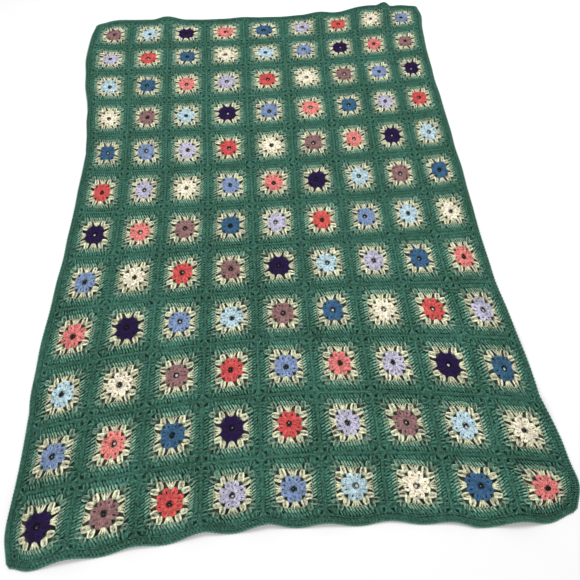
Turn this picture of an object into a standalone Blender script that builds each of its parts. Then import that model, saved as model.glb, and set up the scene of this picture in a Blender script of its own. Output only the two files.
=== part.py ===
"""Granny square blanket, laid out flat: 9 by 12 joined squares with a worked edging.

Metres, +Z up. The blanket's width runs along X and its length along Y, with its near end at -Y.
The origin lies on the floor under the middle of the blanket.

A place on the cloth is a pair (across, along), counted in squares from the middle of the grid.
The lay table and lift_at() then say where that place lies, so each sub-part follows the same
folds. Every square is four rings of points: the centre hole, the flower, the puff round and the
seams that it shares with its neighbours.
"""

from collections import namedtuple

import bpy
import numpy as np

# Driving dimensions.
SQUARE = 0.127  # one square, seam to seam
COLUMNS, ROWS = 9, 12
CENTRE_HOLE = 0.0145  # across the open ring in the middle of a flower
FLOWER_WIDE = 0.060
PUFF_ROUND_WIDE = 0.092  # the square that the puffs and the pale posts fill
HOLE_RIM_THICK = 0.0055
FLOWER_THICK = 0.0070
PUFF_THICK = 0.0056
BAND_THICK = 0.0045  # the green rounds and the joins
EDGING_WIDE = 0.014
EDGING_CROWN_AT = 0.008
EDGING_CROWN_THICK = 0.0052
EDGING_LIP_THICK = 0.0026
EDGING_FOOT_AT = 0.0125
EDGING_CORNER = 0.78  # how far out the rounded corner reaches, as a share of a sharp one
CLEARANCE = 0.0003  # between the squares and the edging

RING_POINTS = 8
EDGE_STEPS = 4  # stations on each square's outer side, so that the ruffles are round
HALF_ACROSS, HALF_ALONG = COLUMNS / 2, ROWS / 2
FLAT = 0.0002  # a place that rises less than this lies on the floor

# How the blanket lies, row by row of its squares, counted from the far end, in millimetres. The
# first and last lines are the edging's own. left_in and right_in: how far the outer squares are
# drawn in, with left_trim and right_trim more at the very edge. spread: how far the squares halfway
# out are pushed apart. left_up, mid_up, right_up: how far the row is moved towards the far end.
Lay = namedtuple(
    "Lay", "row left_in right_in left_trim right_trim spread left_up mid_up right_up"
)
LAY = (
    Lay(0.4, -16, 9, 6, -2, 14, -10, -36, -6),
    Lay(1.0, -16, 12, 5, -3, 14, -11, -22, 6),
    Lay(2.0, -16, 18, 3, 3, 9, 3, -2, 18),
    Lay(4.0, 10, 25, 4, -2, 8, 6, 2, 19),
    Lay(6.0, 20, 21, 4, 3, 0, -1, -4, 5),
    Lay(8.0, 10, 19, 3, 9, 0, -8, 0, -10),
    Lay(10.0, -6, -3, 9, 13, 0, -14, 10, -32),
    Lay(11.0, -6, -9, 16, 5, 3, -8, 15, -35),
    Lay(12.0, -14, -17, 21, 2, 0, -1, 22, -15),
    Lay(12.6, -15, -15, 23, 3, 0, 7, 33, -2),
)
OUTER_SQUARE = 4.0  # the outer squares' middles, in squares from the blanket's middle
TRIM_REACH = 0.61  # from there to the edge
SHIFT_X, SHIFT_Y = -0.0012, 0.0045  # bring the outline's middle to the origin

# The two ends ruffle, with a crest on each seam between columns. Heights in millimetres.
EndCrest = namedtuple("EndCrest", "after_column near far")
END_CRESTS = (
    EndCrest(1, 12, 4),
    EndCrest(2, 7, 22),
    EndCrest(3, 12, 5),
    EndCrest(4, 14, 11),
    EndCrest(5, 9, 4),
    EndCrest(6, 4, 15),
    EndCrest(7, 6, 9),
    EndCrest(8, 16, 6),
)
END_REACH = 0.95  # how far in from the edge a crest dies out, in squares
END_SCALLOP = 0.0035  # how far a crest draws the edge in, and the middle of a square stands out

# The two long sides lift less, on the seams between rows.
SideCrest = namedtuple("SideCrest", "after_row left right")
SIDE_CRESTS = (
    SideCrest(1, 7, 5),
    SideCrest(2, 3, 8),
    SideCrest(3, 6, 3),
    SideCrest(4, 2, 8),
    SideCrest(5, 6, 3),
    SideCrest(6, 8, 6),
    SideCrest(7, 3, 8),
    SideCrest(8, 6, 3),
    SideCrest(9, 3, 7),
    SideCrest(10, 7, 9),
    SideCrest(11, 9, 0),
)
SIDE_REACH = 0.7
SIDE_SCALLOP = 0.002

# Single folds: where they are and how far they reach, in squares, and their height in millimetres.
Rise = namedtuple("Rise", "name across along half_wide half_long high")
RISES = (
    Rise("far_fold_foot", 2.95, 6.30, 0.90, 2.1, 17),
    Rise("far_fold_crest", 3.48, 6.30, 0.27, 1.7, 17),
    Rise("near_right_hump", 4.02, -5.55, 0.62, 0.52, 21),
    Rise("right_end_swell", 4.12, -4.35, 0.50, 0.60, 7),
    Rise("near_left_swell", -4.15, -5.30, 0.47, 0.80, 8),
)

# One letter for each square's flower, as it lies: the far row first, left to right.
FLOWERS = (
    "MLPSBVRCW",
    "VRBCLWPSM",
    "LBSVRCMWP",
    "CMLPWSBVR",
    "BWVRCMSPL",
    "RVCWSPLMB",
    "PSMBVRWLC",
    "WCRMPLVBS",
    "SPWLMBCRV",
    "LCMRWSVPB",
    "WSBPRVMLC",
    "PMRVWLCBS",
)

# Yarns as linear base colours.
YARN_ROUGHNESS = 0.9
YARNS = {
    "green": (0.036, 0.130, 0.092),
    "butter": (0.700, 0.680, 0.420),
    "mauve": (0.270, 0.105, 0.120),
    "light_blue": (0.460, 0.680, 0.800),
    "purple": (0.024, 0.008, 0.070),
    "salmon": (0.800, 0.190, 0.180),
    "blue": (0.030, 0.095, 0.260),
    "lavender": (0.560, 0.510, 0.730),
    "red": (0.650, 0.060, 0.060),
    "cream": (0.930, 0.850, 0.680),
    "periwinkle": (0.160, 0.260, 0.560),
}
YARN_LETTERS = dict(
    M="mauve", L="light_blue", P="purple", S="salmon", B="blue",
    V="lavender", R="red", C="cream", W="periwinkle",
)


def smooth_through(places, values, at):
    """Values on a smooth curve through the given ones, straight past its two ends."""
    steps = np.diff(places)
    slopes = np.diff(values) / steps
    inner = (slopes[:-1] * steps[1:] + slopes[1:] * steps[:-1]) / (steps[1:] + steps[:-1])
    tangents = np.concatenate([slopes[:1], inner, slopes[-1:]])
    i = np.clip(np.searchsorted(places, at) - 1, 0, len(steps) - 1)
    t = (at - places[i]) / steps[i]
    s = np.clip(t, 0.0, 1.0)
    curve = (
        (2 * s**3 - 3 * s**2 + 1) * values[i]
        + (s**3 - 2 * s**2 + s) * steps[i] * tangents[i]
        + (3 * s**2 - 2 * s**3) * values[i + 1]
        + (s**3 - s**2) * steps[i] * tangents[i + 1]
    )
    return curve + (t - s) * steps[i] * np.where(t < 0, tangents[i], tangents[i + 1])


def fade(distance, reach):
    """1 at the edge and past it, falling smoothly to 0 at the given reach."""
    t = np.clip(distance / reach, 0.0, 1.0)
    return 1 - 3 * t**2 + 2 * t**3


def crest(distance):
    """A ruffle's round crest on a seam: 1 there and 0 from the middle of the square."""
    return np.where(np.abs(distance) < 0.5, np.cos(np.pi * distance) ** 2, 0.0)


def lift_at(across, along):
    """How far the cloth's underside stands above the floor."""
    high = np.zeros_like(across)
    for line in END_CRESTS:
        across_crest = crest(across - (line.after_column - HALF_ACROSS))
        high += across_crest * line.near * fade(HALF_ALONG + along, END_REACH)
        high += across_crest * line.far * fade(HALF_ALONG - along, END_REACH)
    for line in SIDE_CRESTS:
        along_crest = crest(along - (HALF_ALONG - line.after_row))
        high += along_crest * line.left * fade(HALF_ACROSS + across, SIDE_REACH)
        high += along_crest * line.right * fade(HALF_ACROSS - across, SIDE_REACH)
    for rise in RISES:
        wide = np.clip(1 - ((across - rise.across) / rise.half_wide) ** 2, 0.0, 1.0)
        long = np.clip(1 - ((along - rise.along) / rise.half_long) ** 2, 0.0, 1.0)
        high += rise.high * (wide * long) ** 2
    return high / 1000


def scallop(place, half, distance, reach, depth):
    """How far the edge stands out beside the middle of a square, and in beside a seam."""
    return depth * np.cos(2 * np.pi * (place - half + 0.5)) * fade(distance, reach)


def lay_out(across, along, height):
    """Points of the blanket as it lies, for places on the cloth and heights over its underside."""
    across, along = np.broadcast_arrays(np.asarray(across, float), np.asarray(along, float))
    lines = LAY[::-1]
    rows = HALF_ALONG + 0.5 - np.array([line.row for line in lines])
    left_in, right_in, left_trim, right_trim, spread, left_up, mid_up, right_up = (
        smooth_through(rows, np.array([getattr(line, name) for line in lines]) / 1000, along)
        for name in Lay._fields[1:]
    )
    out = across / OUTER_SQUARE
    at_edge = np.clip((np.abs(across) - OUTER_SQUARE) / TRIM_REACH, 0.0, 1.0)
    x = across * SQUARE + SHIFT_X
    x = x + np.where(out < 0, left_in, -right_in) * out**2
    x = x + np.where(out < 0, left_trim, -right_trim) * at_edge
    x = x + 4 * spread * np.clip(1 - np.abs(out), 0.0, 1.0) * out
    x = x + np.sign(across) * scallop(
        along, HALF_ALONG, HALF_ACROSS - np.abs(across), SIDE_REACH, SIDE_SCALLOP
    )
    y = along * SQUARE + SHIFT_Y
    y = y + mid_up + (right_up - left_up) / 2 * out + ((right_up + left_up) / 2 - mid_up) * out**2
    y = y + np.sign(along) * scallop(
        across, HALF_ACROSS, HALF_ALONG - np.abs(along), END_REACH, END_SCALLOP
    )
    return np.stack([x, y, lift_at(across, along) + height], axis=-1)


class Net:
    """Points and faces of one closed body, on places that its parts share."""

    def __init__(self):
        self.places = []
        self.faces = []
        self.yarns = []
        self.known = {}

    def point(self, across, along, height):
        """The point over this place at this height, made once."""
        key = (round(across, 4), round(along, 4), height)
        if key not in self.known:
            self.known[key] = len(self.places)
            self.places.append(key)
        return self.known[key]

    def face(self, corners, yarn):
        self.faces.append(corners)
        self.yarns.append(yarn)

    def band(self, inner, outer, yarn, facing_up=True):
        """Joins two rings of (angle, point) into a band of triangles."""
        turn = 2 * np.pi
        first, second = ([*ring, (ring[0][0] + turn, ring[0][1])] for ring in (inner, outer))
        i = j = 0
        while i < len(inner) or j < len(outer):
            if j == len(outer) or (i < len(inner) and first[i + 1][0] <= second[j + 1][0]):
                corners = (first[i][1], second[j][1], first[i + 1][1])
                i += 1
            else:
                corners = (first[i][1], second[j][1], second[j + 1][1])
                j += 1
            self.face(corners if facing_up else corners[::-1], yarn)

    def object(self, name, materials):
        """The body as a mesh object, with one material for each yarn that it names."""
        across, along, height = np.array(self.places).T
        mesh = bpy.data.meshes.new(name)
        mesh.from_pydata(lay_out(across, along, height).tolist(), [], self.faces)
        used = sorted(set(self.yarns))
        for yarn in used:
            mesh.materials.append(materials[yarn])
        for polygon, yarn in zip(mesh.polygons, self.yarns):
            polygon.material_index = used.index(yarn)
        mesh.shade_smooth()
        mesh.set_sharp_from_angle(angle=np.radians(50))
        mesh.validate()
        made = bpy.data.objects.new(name, mesh)
        bpy.context.scene.collection.objects.link(made)
        return made


def round_ring(across, along, wide):
    """Places on a round ring of a square, turned so that four of its flats face the corners."""
    angles = (np.arange(RING_POINTS) + 0.5) * 2 * np.pi / RING_POINTS
    radius = wide / 2 / SQUARE
    return [(a, across + radius * np.cos(a), along + radius * np.sin(a)) for a in angles]


def square_ring(across, along, wide, steps):
    """Places on a square ring, counted from the middle of its right side. steps holds the number
    of stretches on its right, far, left and near side."""
    half = wide / 2 / SQUARE
    places = []
    for side, count in enumerate(steps):
        for k in range(count):
            along_side = -half + 2 * half * k / count
            angle = side * np.pi / 2 + np.arctan2(along_side, half)
            reach = np.hypot(half, along_side)
            places.append((angle, across + reach * np.cos(angle), along + reach * np.sin(angle)))
    return places


def ring_at(net, places, height):
    return [(angle, net.point(across, along, height)) for angle, across, along in places]


def add_square(net, column, row, flower_yarn):
    """One square of the blanket, top and underside, with its centre hole cut through."""
    across = column + 0.5 - HALF_ACROSS
    along = HALF_ALONG - row - 0.5
    steps = [
        EDGE_STEPS if on_edge else 2
        for on_edge in (column == COLUMNS - 1, row == 0, column == 0, row == ROWS - 1)
    ]
    hole = round_ring(across, along, CENTRE_HOLE)
    flower = round_ring(across, along, FLOWER_WIDE)
    puffs = square_ring(across, along, PUFF_ROUND_WIDE, (2, 2, 2, 2))
    seams = square_ring(across, along, SQUARE, steps)

    hole_top = ring_at(net, hole, HOLE_RIM_THICK)
    flower_top = ring_at(net, flower, FLOWER_THICK)
    puff_top = ring_at(net, puffs, PUFF_THICK)
    seam_top = ring_at(net, seams, BAND_THICK)
    net.band(hole_top, flower_top, flower_yarn)
    net.band(flower_top, puff_top, "butter")
    net.band(puff_top, seam_top, "green")

    hole_under = ring_at(net, hole, 0.0)
    seam_under = ring_at(net, seams, 0.0)
    places = np.array([place[1:] for place in hole + puffs + seams])
    if lift_at(places[:, 0], places[:, 1]).max() > FLAT:
        puff_under = ring_at(net, puffs, 0.0)
        net.band(hole_under, puff_under, "green", facing_up=False)
        net.band(puff_under, seam_under, "green", facing_up=False)
    else:
        net.band(hole_under, seam_under, "green", facing_up=False)
    for k in range(RING_POINTS):
        near, far = k, (k + 1) % RING_POINTS
        corners = (hole_top[near][1], hole_top[far][1], hole_under[far][1], hole_under[near][1])
        net.face(corners, flower_yarn)


def rim_stations():
    """Places round the outer seam, anticlockwise from the near left corner, each with the way
    outwards from it."""
    stations = []
    corners = ((-1, -1), (1, -1), (1, 1), (-1, 1))
    for k, (from_x, from_y) in enumerate(corners):
        to_x, to_y = corners[(k + 1) % 4]
        count = EDGE_STEPS * (COLUMNS if k % 2 == 0 else ROWS)
        for step in range(count):
            share = step / count
            across = HALF_ACROSS * (from_x + (to_x - from_x) * share)
            along = HALF_ALONG * (from_y + (to_y - from_y) * share)
            outwards = (from_x, from_y) if step == 0 else ((0, -1), (1, 0), (0, 1), (-1, 0))[k]
            stations.append((across, along, outwards, step == 0))
    return stations


def make_squares(materials):
    net = Net()
    for row, letters in enumerate(FLOWERS):
        for column, letter in enumerate(letters):
            add_square(net, column, row, YARN_LETTERS[letter])
    rim = [place[:2] for place in rim_stations()]
    for here, there in zip(rim, rim[1:] + rim[:1]):
        corners = (
            net.point(*here, 0.0),
            net.point(*there, 0.0),
            net.point(*there, BAND_THICK),
            net.point(*here, BAND_THICK),
        )
        net.face(corners, "green")
    return net.object("joined_squares", materials)


def make_edging(materials):
    """The edging: one strip round the squares, thickest at its crown, with a thin outer lip."""
    profile = (
        (CLEARANCE, 0.0),
        (CLEARANCE, BAND_THICK),
        (EDGING_CROWN_AT, EDGING_CROWN_THICK),
        (EDGING_WIDE, EDGING_LIP_THICK),
        (EDGING_FOOT_AT, 0.0),
    )
    net = Net()
    sections = []
    for across, along, (way_x, way_y), at_corner in rim_stations():
        section = []
        for out, height in profile:
            reach = out / SQUARE * (EDGING_CORNER if at_corner and out > CLEARANCE else 1.0)
            section.append(net.point(across + way_x * reach, along + way_y * reach, height))
        sections.append(section)
    for here, there in zip(sections, sections[1:] + sections[:1]):
        for k, low in enumerate(here):
            after = (k + 1) % len(profile)
            net.face((low, here[after], there[after], there[k]), "green")
    return net.object("edging", materials)


def yarn_material(name, colour):
    material = bpy.data.materials.new(f"{name}_yarn")
    material.use_nodes = True
    shader = material.node_tree.nodes["Principled BSDF"]
    shader.inputs["Base Color"].default_value = (*colour, 1.0)
    shader.inputs["Roughness"].default_value = YARN_ROUGHNESS
    shader.inputs["Metallic"].default_value = 0.0
    return material


def main():
    for left_over in list(bpy.data.objects):
        bpy.data.objects.remove(left_over)
    materials = {name: yarn_material(name, colour) for name, colour in YARNS.items()}
    blanket = bpy.data.objects.new("granny_square_blanket", None)
    bpy.context.scene.collection.objects.link(blanket)
    for piece in (make_squares(materials), make_edging(materials)):
        piece.parent = blanket


main()
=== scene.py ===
"""Looks of the granny square blanket: its yarn, stitch by stitch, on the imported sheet's folds."""

import logging
import math
from collections.abc import Iterable, Sequence
from dataclasses import dataclass, field
from enum import Enum
from typing import NamedTuple

import bpy
import numpy as np
from mathutils import Euler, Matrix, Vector
from mathutils.geometry import delaunay_2d_cdt


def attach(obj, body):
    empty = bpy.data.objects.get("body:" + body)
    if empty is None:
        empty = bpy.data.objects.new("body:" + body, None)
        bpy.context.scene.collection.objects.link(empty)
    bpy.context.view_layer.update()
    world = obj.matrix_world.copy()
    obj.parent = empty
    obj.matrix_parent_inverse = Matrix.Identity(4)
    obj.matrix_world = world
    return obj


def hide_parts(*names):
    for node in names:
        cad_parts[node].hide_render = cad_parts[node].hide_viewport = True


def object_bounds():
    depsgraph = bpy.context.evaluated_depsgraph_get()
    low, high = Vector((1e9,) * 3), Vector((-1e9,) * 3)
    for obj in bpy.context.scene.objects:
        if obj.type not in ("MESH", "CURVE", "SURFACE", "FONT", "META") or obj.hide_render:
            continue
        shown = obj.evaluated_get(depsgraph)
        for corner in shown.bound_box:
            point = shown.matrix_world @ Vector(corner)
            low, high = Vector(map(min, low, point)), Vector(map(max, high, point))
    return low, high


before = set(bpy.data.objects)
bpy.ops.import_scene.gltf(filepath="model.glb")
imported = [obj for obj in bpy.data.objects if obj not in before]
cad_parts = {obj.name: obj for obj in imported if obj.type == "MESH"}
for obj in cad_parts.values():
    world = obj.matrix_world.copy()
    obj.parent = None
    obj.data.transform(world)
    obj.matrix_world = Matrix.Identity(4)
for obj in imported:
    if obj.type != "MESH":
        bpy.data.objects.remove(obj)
CAD_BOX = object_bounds()

LOG = logging.getLogger("blanket")
BODY = "root"
MM = 0.001
SEED = 108
QUARTERS = 4
TINY_LENGTH = 1e-9
TINY_SHARE = 1e-6

# Stitches: the points round single strands and round puffs and long chains, how tall posts stand
# for their width, and a loop's points along it and their bulk.
STRAND_SIDES = 3
PUFF_SIDES = 4
POST_SQUASH = 0.75
LOOP_SHARES = np.array([-1.0, -0.4, 0.4, 1.0])
LOOP_BULK = np.array([0.0, 1.0, 1.0, 0.0])

# Painted shade: how much darker strands are coloured than the rest: a puff's rim and heart, the gussets
# and the seams.
PUFF_SHADE = (0.0, 0.9, 0.9, 0.0)
CORNERS_SHADE = np.tile(PUFF_SHADE, 2 * QUARTERS)
GUSSET_SHADE = 0.6
SEAM_SHADE = 0.5

# Webs, the closed yarn that shows between stitches, darkened with painted shade: their values in painted
# shade, and in deep painted shade where holes and slits show only shade.
WEB_POINTS = 7
WEB_PAINTED_SHADE = -1.3
DEEP_PAINTED_SHADE = -3.0

# Faces that look down have their own strip of the map: where it begins, and how much smaller.
UNDER_STRIP_AT = 0.80
UNDER_STRIP_SCALE = 0.24


# How the blanket lies ------------------------------------------------------------------------


class LayLine(NamedTuple):
    """How one line of squares lies, in mm: drawn in at its ends, trimmed, spread and moved up."""

    row: float
    left_in: float
    right_in: float
    left_trim: float
    right_trim: float
    spread: float
    left_up: float
    mid_up: float
    right_up: float


class EndCrest(NamedTuple):
    """A crest of the ruffled near and far ends, on the seam after a column, in mm."""

    after_column: float
    near: float
    far: float


class SideCrest(NamedTuple):
    """A crest of the ruffled long sides, on the seam after a row, in mm."""

    after_row: float
    left: float
    right: float


class Rise(NamedTuple):
    """A rounded rise of the sheet off the floor: its place and reach in squares, height in mm."""

    across: float
    along: float
    half_wide: float
    half_long: float
    high: float


class RimPull(NamedTuple):
    """A corner or stretch of the rim drawn aside: its place and reach in squares, the pull in mm."""

    across: float
    along: float
    pull_across: float
    pull_along: float
    reach: float


def fade(distance: np.ndarray, reach: float) -> np.ndarray:
    """Falls smoothly from 1 at no distance to 0 at the reach."""
    t = np.clip(distance / reach, 0.0, 1.0)
    return 1 - 3 * t**2 + 2 * t**3


def smooth_through(places: np.ndarray, values: np.ndarray, at: np.ndarray) -> np.ndarray:
    """Follows a smooth curve through values, and goes on straight past its ends.

    Args:
        places: where the values stand, rising.
        values: what they are.
        at: the places to read.

    Returns:
        The curve's values at those places.
    """
    steps = np.diff(places)
    slopes = np.diff(values) / steps
    inner = (slopes[:-1] * steps[1:] + slopes[1:] * steps[:-1]) / (steps[1:] + steps[:-1])
    tangents = np.concatenate([slopes[:1], inner, slopes[-1:]])
    i = np.clip(np.searchsorted(places, at) - 1, 0, len(steps) - 1)
    t = (at - places[i]) / steps[i]
    s = np.clip(t, 0.0, 1.0)
    curve = (
        (2 * s**3 - 3 * s**2 + 1) * values[i]
        + (s**3 - 2 * s**2 + s) * steps[i] * tangents[i]
        + (3 * s**2 - 2 * s**3) * values[i + 1]
        + (s**3 - s**2) * steps[i] * tangents[i + 1]
    )
    return curve + (t - s) * steps[i] * np.where(t < 0, tangents[i], tangents[i + 1])


@dataclass(frozen=True)
class Lay:
    """The grid of squares as it lies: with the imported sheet's folds, and pulls at the rim besides.

    Attributes:
        square: a square's side, in metres.
        columns: squares across.
        rows: squares along.
        outer_square: from the middle to the outer column's middle, in squares.
        trim_reach: how far beyond that the trims reach in full, in squares.
        shift: where the middle lies in the row frame, in metres.
        end_reach: how far in the ruffles of the ends reach, in squares.
        end_scallop: how far the ends' edge waves, in metres.
        side_reach: how far in the ruffles of the sides reach, in squares.
        side_scallop: how far the sides' edge waves, in metres.
        table_step: how finely the lines are read, in squares.
        lines: how chosen lines of squares lie, the far one first.
        end_crests: the ruffles of the ends.
        side_crests: the ruffles of the sides.
        rises: the far fold and the near humps.
        rim_pulls: where the rim is drawn aside.
    """

    square: float = 0.127
    columns: int = 9
    rows: int = 12
    outer_square: float = 4.0
    trim_reach: float = 0.61
    shift: tuple[float, float] = (-0.0012, 0.0045)
    end_reach: float = 0.95
    end_scallop: float = 0.0035
    side_reach: float = 0.7
    side_scallop: float = 0.002
    table_step: float = 0.005
    lines: tuple[LayLine, ...] = (
        LayLine(0.4, -16, 9, 6, -2, 14, -10, -36, -6),
        LayLine(1.0, -16, 12, 5, -3, 14, -11, -22, 6),
        LayLine(2.0, -16, 18, 3, 3, 9, 3, -2, 18),
        LayLine(4.0, 10, 25, 4, -2, 8, 6, 2, 19),
        LayLine(6.0, 20, 21, 4, 3, 0, -1, -4, 5),
        LayLine(8.0, 10, 19, 3, 9, 0, -8, 0, -10),
        LayLine(10.0, -6, -3, 9, 13, 0, -14, 10, -32),
        LayLine(11.0, -6, -9, 16, 5, 3, -8, 15, -35),
        LayLine(12.0, -14, -17, 21, 2, 0, -1, 22, -15),
        LayLine(12.6, -15, -15, 23, 3, 0, 7, 33, -2),
    )
    end_crests: tuple[EndCrest, ...] = (
        EndCrest(1, 12, 4),
        EndCrest(2, 7, 22),
        EndCrest(3, 12, 5),
        EndCrest(4, 14, 11),
        EndCrest(5, 9, 4),
        EndCrest(6, 4, 15),
        EndCrest(7, 6, 9),
        EndCrest(8, 16, 6),
    )
    side_crests: tuple[SideCrest, ...] = (
        SideCrest(1, 7, 5),
        SideCrest(2, 3, 8),
        SideCrest(3, 6, 3),
        SideCrest(4, 2, 8),
        SideCrest(5, 6, 3),
        SideCrest(6, 8, 6),
        SideCrest(7, 3, 8),
        SideCrest(8, 6, 3),
        SideCrest(9, 3, 7),
        SideCrest(10, 7, 9),
        SideCrest(11, 9, 0),
    )
    rises: tuple[Rise, ...] = (
        Rise(2.95, 6.30, 0.90, 2.10, 17),
        Rise(3.48, 6.30, 0.27, 1.70, 17),
        Rise(4.02, -5.55, 0.62, 0.52, 21),
        Rise(4.12, -4.35, 0.50, 0.60, 7),
        Rise(-4.15, -5.30, 0.47, 0.80, 8),
    )
    rim_pulls: tuple[RimPull, ...] = (
        RimPull(-4.6, -6.1, 12, 10, 0.8),
        RimPull(4.6, -6.1, -20, 26, 1.3),
        RimPull(-4.6, 6.1, 8, -27, 1.2),
        RimPull(4.6, 6.1, -7, -11, 0.8),
        RimPull(-1.4, -6.1, 0, 7, 1.1),
        RimPull(-0.4, -6.1, 0, 8, 1.1),
        RimPull(2.8, -6.1, 0, -7, 1.0),
        RimPull(-4.6, 2.7, 4, 0, 1.0),
        RimPull(-4.6, 1.5, 9, 0, 1.1),
        RimPull(-4.6, -3.7, 6, 0, 1.0),
        RimPull(4.6, -3.9, -8, 0, 0.9),
    )

    @property
    def half_across(self) -> float:
        """Squares from the middle to a long side."""
        return self.columns / 2

    @property
    def half_along(self) -> float:
        """Squares from the middle to an end."""
        return self.rows / 2

    def curve(self, name: str, along: np.ndarray) -> np.ndarray:
        """Reads one column of the lines' table at each place along the blanket.

        Args:
            name: the column.
            along: places from the middle, in squares, towards the far end.

        Returns:
            Its values in metres.
        """
        lines = self.lines[::-1]
        places = self.half_along + 0.5 - np.array([line.row for line in lines])
        values = np.array([getattr(line, name) for line in lines]) * MM
        reach = self.half_along + 1.0
        at = np.arange(-reach, reach, self.table_step)
        return np.interp(along, at, smooth_through(places, values, at))

    def lift(self, across: np.ndarray, along: np.ndarray) -> np.ndarray:
        """Gives how far the underside stands off the floor.

        Args:
            across: places from the middle, in squares.
            along: likewise, towards the far end.

        Returns:
            Heights in metres.
        """

        def crest(distance: np.ndarray) -> np.ndarray:
            """One rounded crest, half a square to each side of its seam."""
            return np.where(np.abs(distance) < 0.5, np.cos(np.pi * distance) ** 2, 0.0)

        high = np.zeros(np.shape(across))
        near = fade(self.half_along + along, self.end_reach)
        far = fade(self.half_along - along, self.end_reach)
        for one in self.end_crests:
            high += crest(across - (one.after_column - self.half_across)) * (
                one.near * near + one.far * far
            )
        left = fade(self.half_across + across, self.side_reach)
        right = fade(self.half_across - across, self.side_reach)
        for one in self.side_crests:
            high += crest(along - (self.half_along - one.after_row)) * (
                one.left * left + one.right * right
            )
        for one in self.rises:
            over = 1 - ((across - one.across) / one.half_wide) ** 2
            down = 1 - ((along - one.along) / one.half_long) ** 2
            high += one.high * (np.clip(over, 0.0, 1.0) * np.clip(down, 0.0, 1.0)) ** 2
        return high * MM

    def place(self, flat: np.ndarray) -> np.ndarray:
        """Lays points of the flat blanket out as it lies.

        Args:
            flat: points (..., 3) in metres from the middle of the flat blanket's underside.

        Returns:
            Their places in the row frame, in the same shape.
        """
        across, along = flat[..., 0] / self.square, flat[..., 1] / self.square
        out = across / self.outer_square
        beyond = (np.abs(across) - self.outer_square) / self.trim_reach
        at_edge = np.clip(beyond, 0.0, 1.0)
        x = flat[..., 0] + self.shift[0]
        x = x + np.where(out < 0, self.curve("left_in", along), -self.curve("right_in", along)) * out**2
        trim = np.where(out < 0, self.curve("left_trim", along), -self.curve("right_trim", along))
        x += trim * at_edge
        x += 4 * self.curve("spread", along) * np.clip(1 - np.abs(out), 0.0, 1.0) * out
        from_side = self.half_across - np.abs(across)
        x += np.sign(across) * self.side_scallop * np.cos(
            2 * np.pi * (along - self.half_along + 0.5)
        ) * fade(from_side, self.side_reach)
        left_up, right_up = self.curve("left_up", along), self.curve("right_up", along)
        mid_up = self.curve("mid_up", along)
        y = flat[..., 1] + self.shift[1] + mid_up + (right_up - left_up) / 2 * out
        y += ((right_up + left_up) / 2 - mid_up) * out**2
        from_end = self.half_along - np.abs(along)
        y += np.sign(along) * self.end_scallop * np.cos(
            2 * np.pi * (across - self.half_across + 0.5)
        ) * fade(from_end, self.end_reach)
        for pull in self.rim_pulls:
            away = np.hypot(across - pull.across, along - pull.along) / pull.reach
            drawn = np.clip(1 - away, 0.0, 1.0) ** 2 * MM
            x += pull.pull_across * drawn
            y += pull.pull_along * drawn
        return np.stack([x, y, self.lift(across, along) + flat[..., 2]], axis=-1)


LAY = Lay()


# Yarn as meshes ------------------------------------------------------------------------------


def turned(paths: np.ndarray, turns: int) -> np.ndarray:
    """Repeats strands round the square's middle.

    Args:
        paths: strands (strands, points, 3).
        turns: how many times they go round.

    Returns:
        All of them, (turns * strands, points, 3).
    """
    angles = 2 * np.pi * np.arange(turns) / turns
    c, s = np.cos(angles)[:, None, None], np.sin(angles)[:, None, None]
    x, y, z = paths[..., 0], paths[..., 1], np.broadcast_to(paths[..., 2], (turns, *paths.shape[:2]))
    return np.stack([c * x - s * y, s * x + c * y, z], axis=-1).reshape(-1, *paths.shape[1:])


def rings_round(
    paths: np.ndarray, thick: np.ndarray, sides: int, closed: bool, squash: float
) -> np.ndarray:
    """Puts a ring of points round each point of each strand, the first of them on top.

    Args:
        paths: strands (strands, points, 3).
        thick: the radius at each point, (strands, points).
        sides: points in a ring.
        closed: whether each strand runs round into its own start.
        squash: how tall the yarn stands for its width.

    Returns:
        Rings (strands, points, sides, 3).
    """
    if closed:
        run = np.roll(paths, -1, axis=1) - np.roll(paths, 1, axis=1)
    else:
        run = np.gradient(paths, axis=1)
    run = run / np.linalg.norm(run, axis=-1, keepdims=True)
    aside = np.stack([-run[..., 1], run[..., 0], np.zeros(run.shape[:-1])], axis=-1)
    aside /= np.maximum(np.linalg.norm(aside, axis=-1, keepdims=True), TINY_LENGTH)
    up = np.cross(run, aside)
    angle = np.pi / 2 + 2 * np.pi * np.arange(sides) / sides
    around = (
        np.cos(angle)[:, None] * aside[..., None, :] + squash * np.sin(angle)[:, None] * up[..., None, :]
    )
    return paths[..., None, :] + thick[..., None, None] * around


class Twine(Enum):
    """How a strand ends."""

    SPINDLE = "drawn to a point at both ends"
    LOOP = "run round into its own start"


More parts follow.
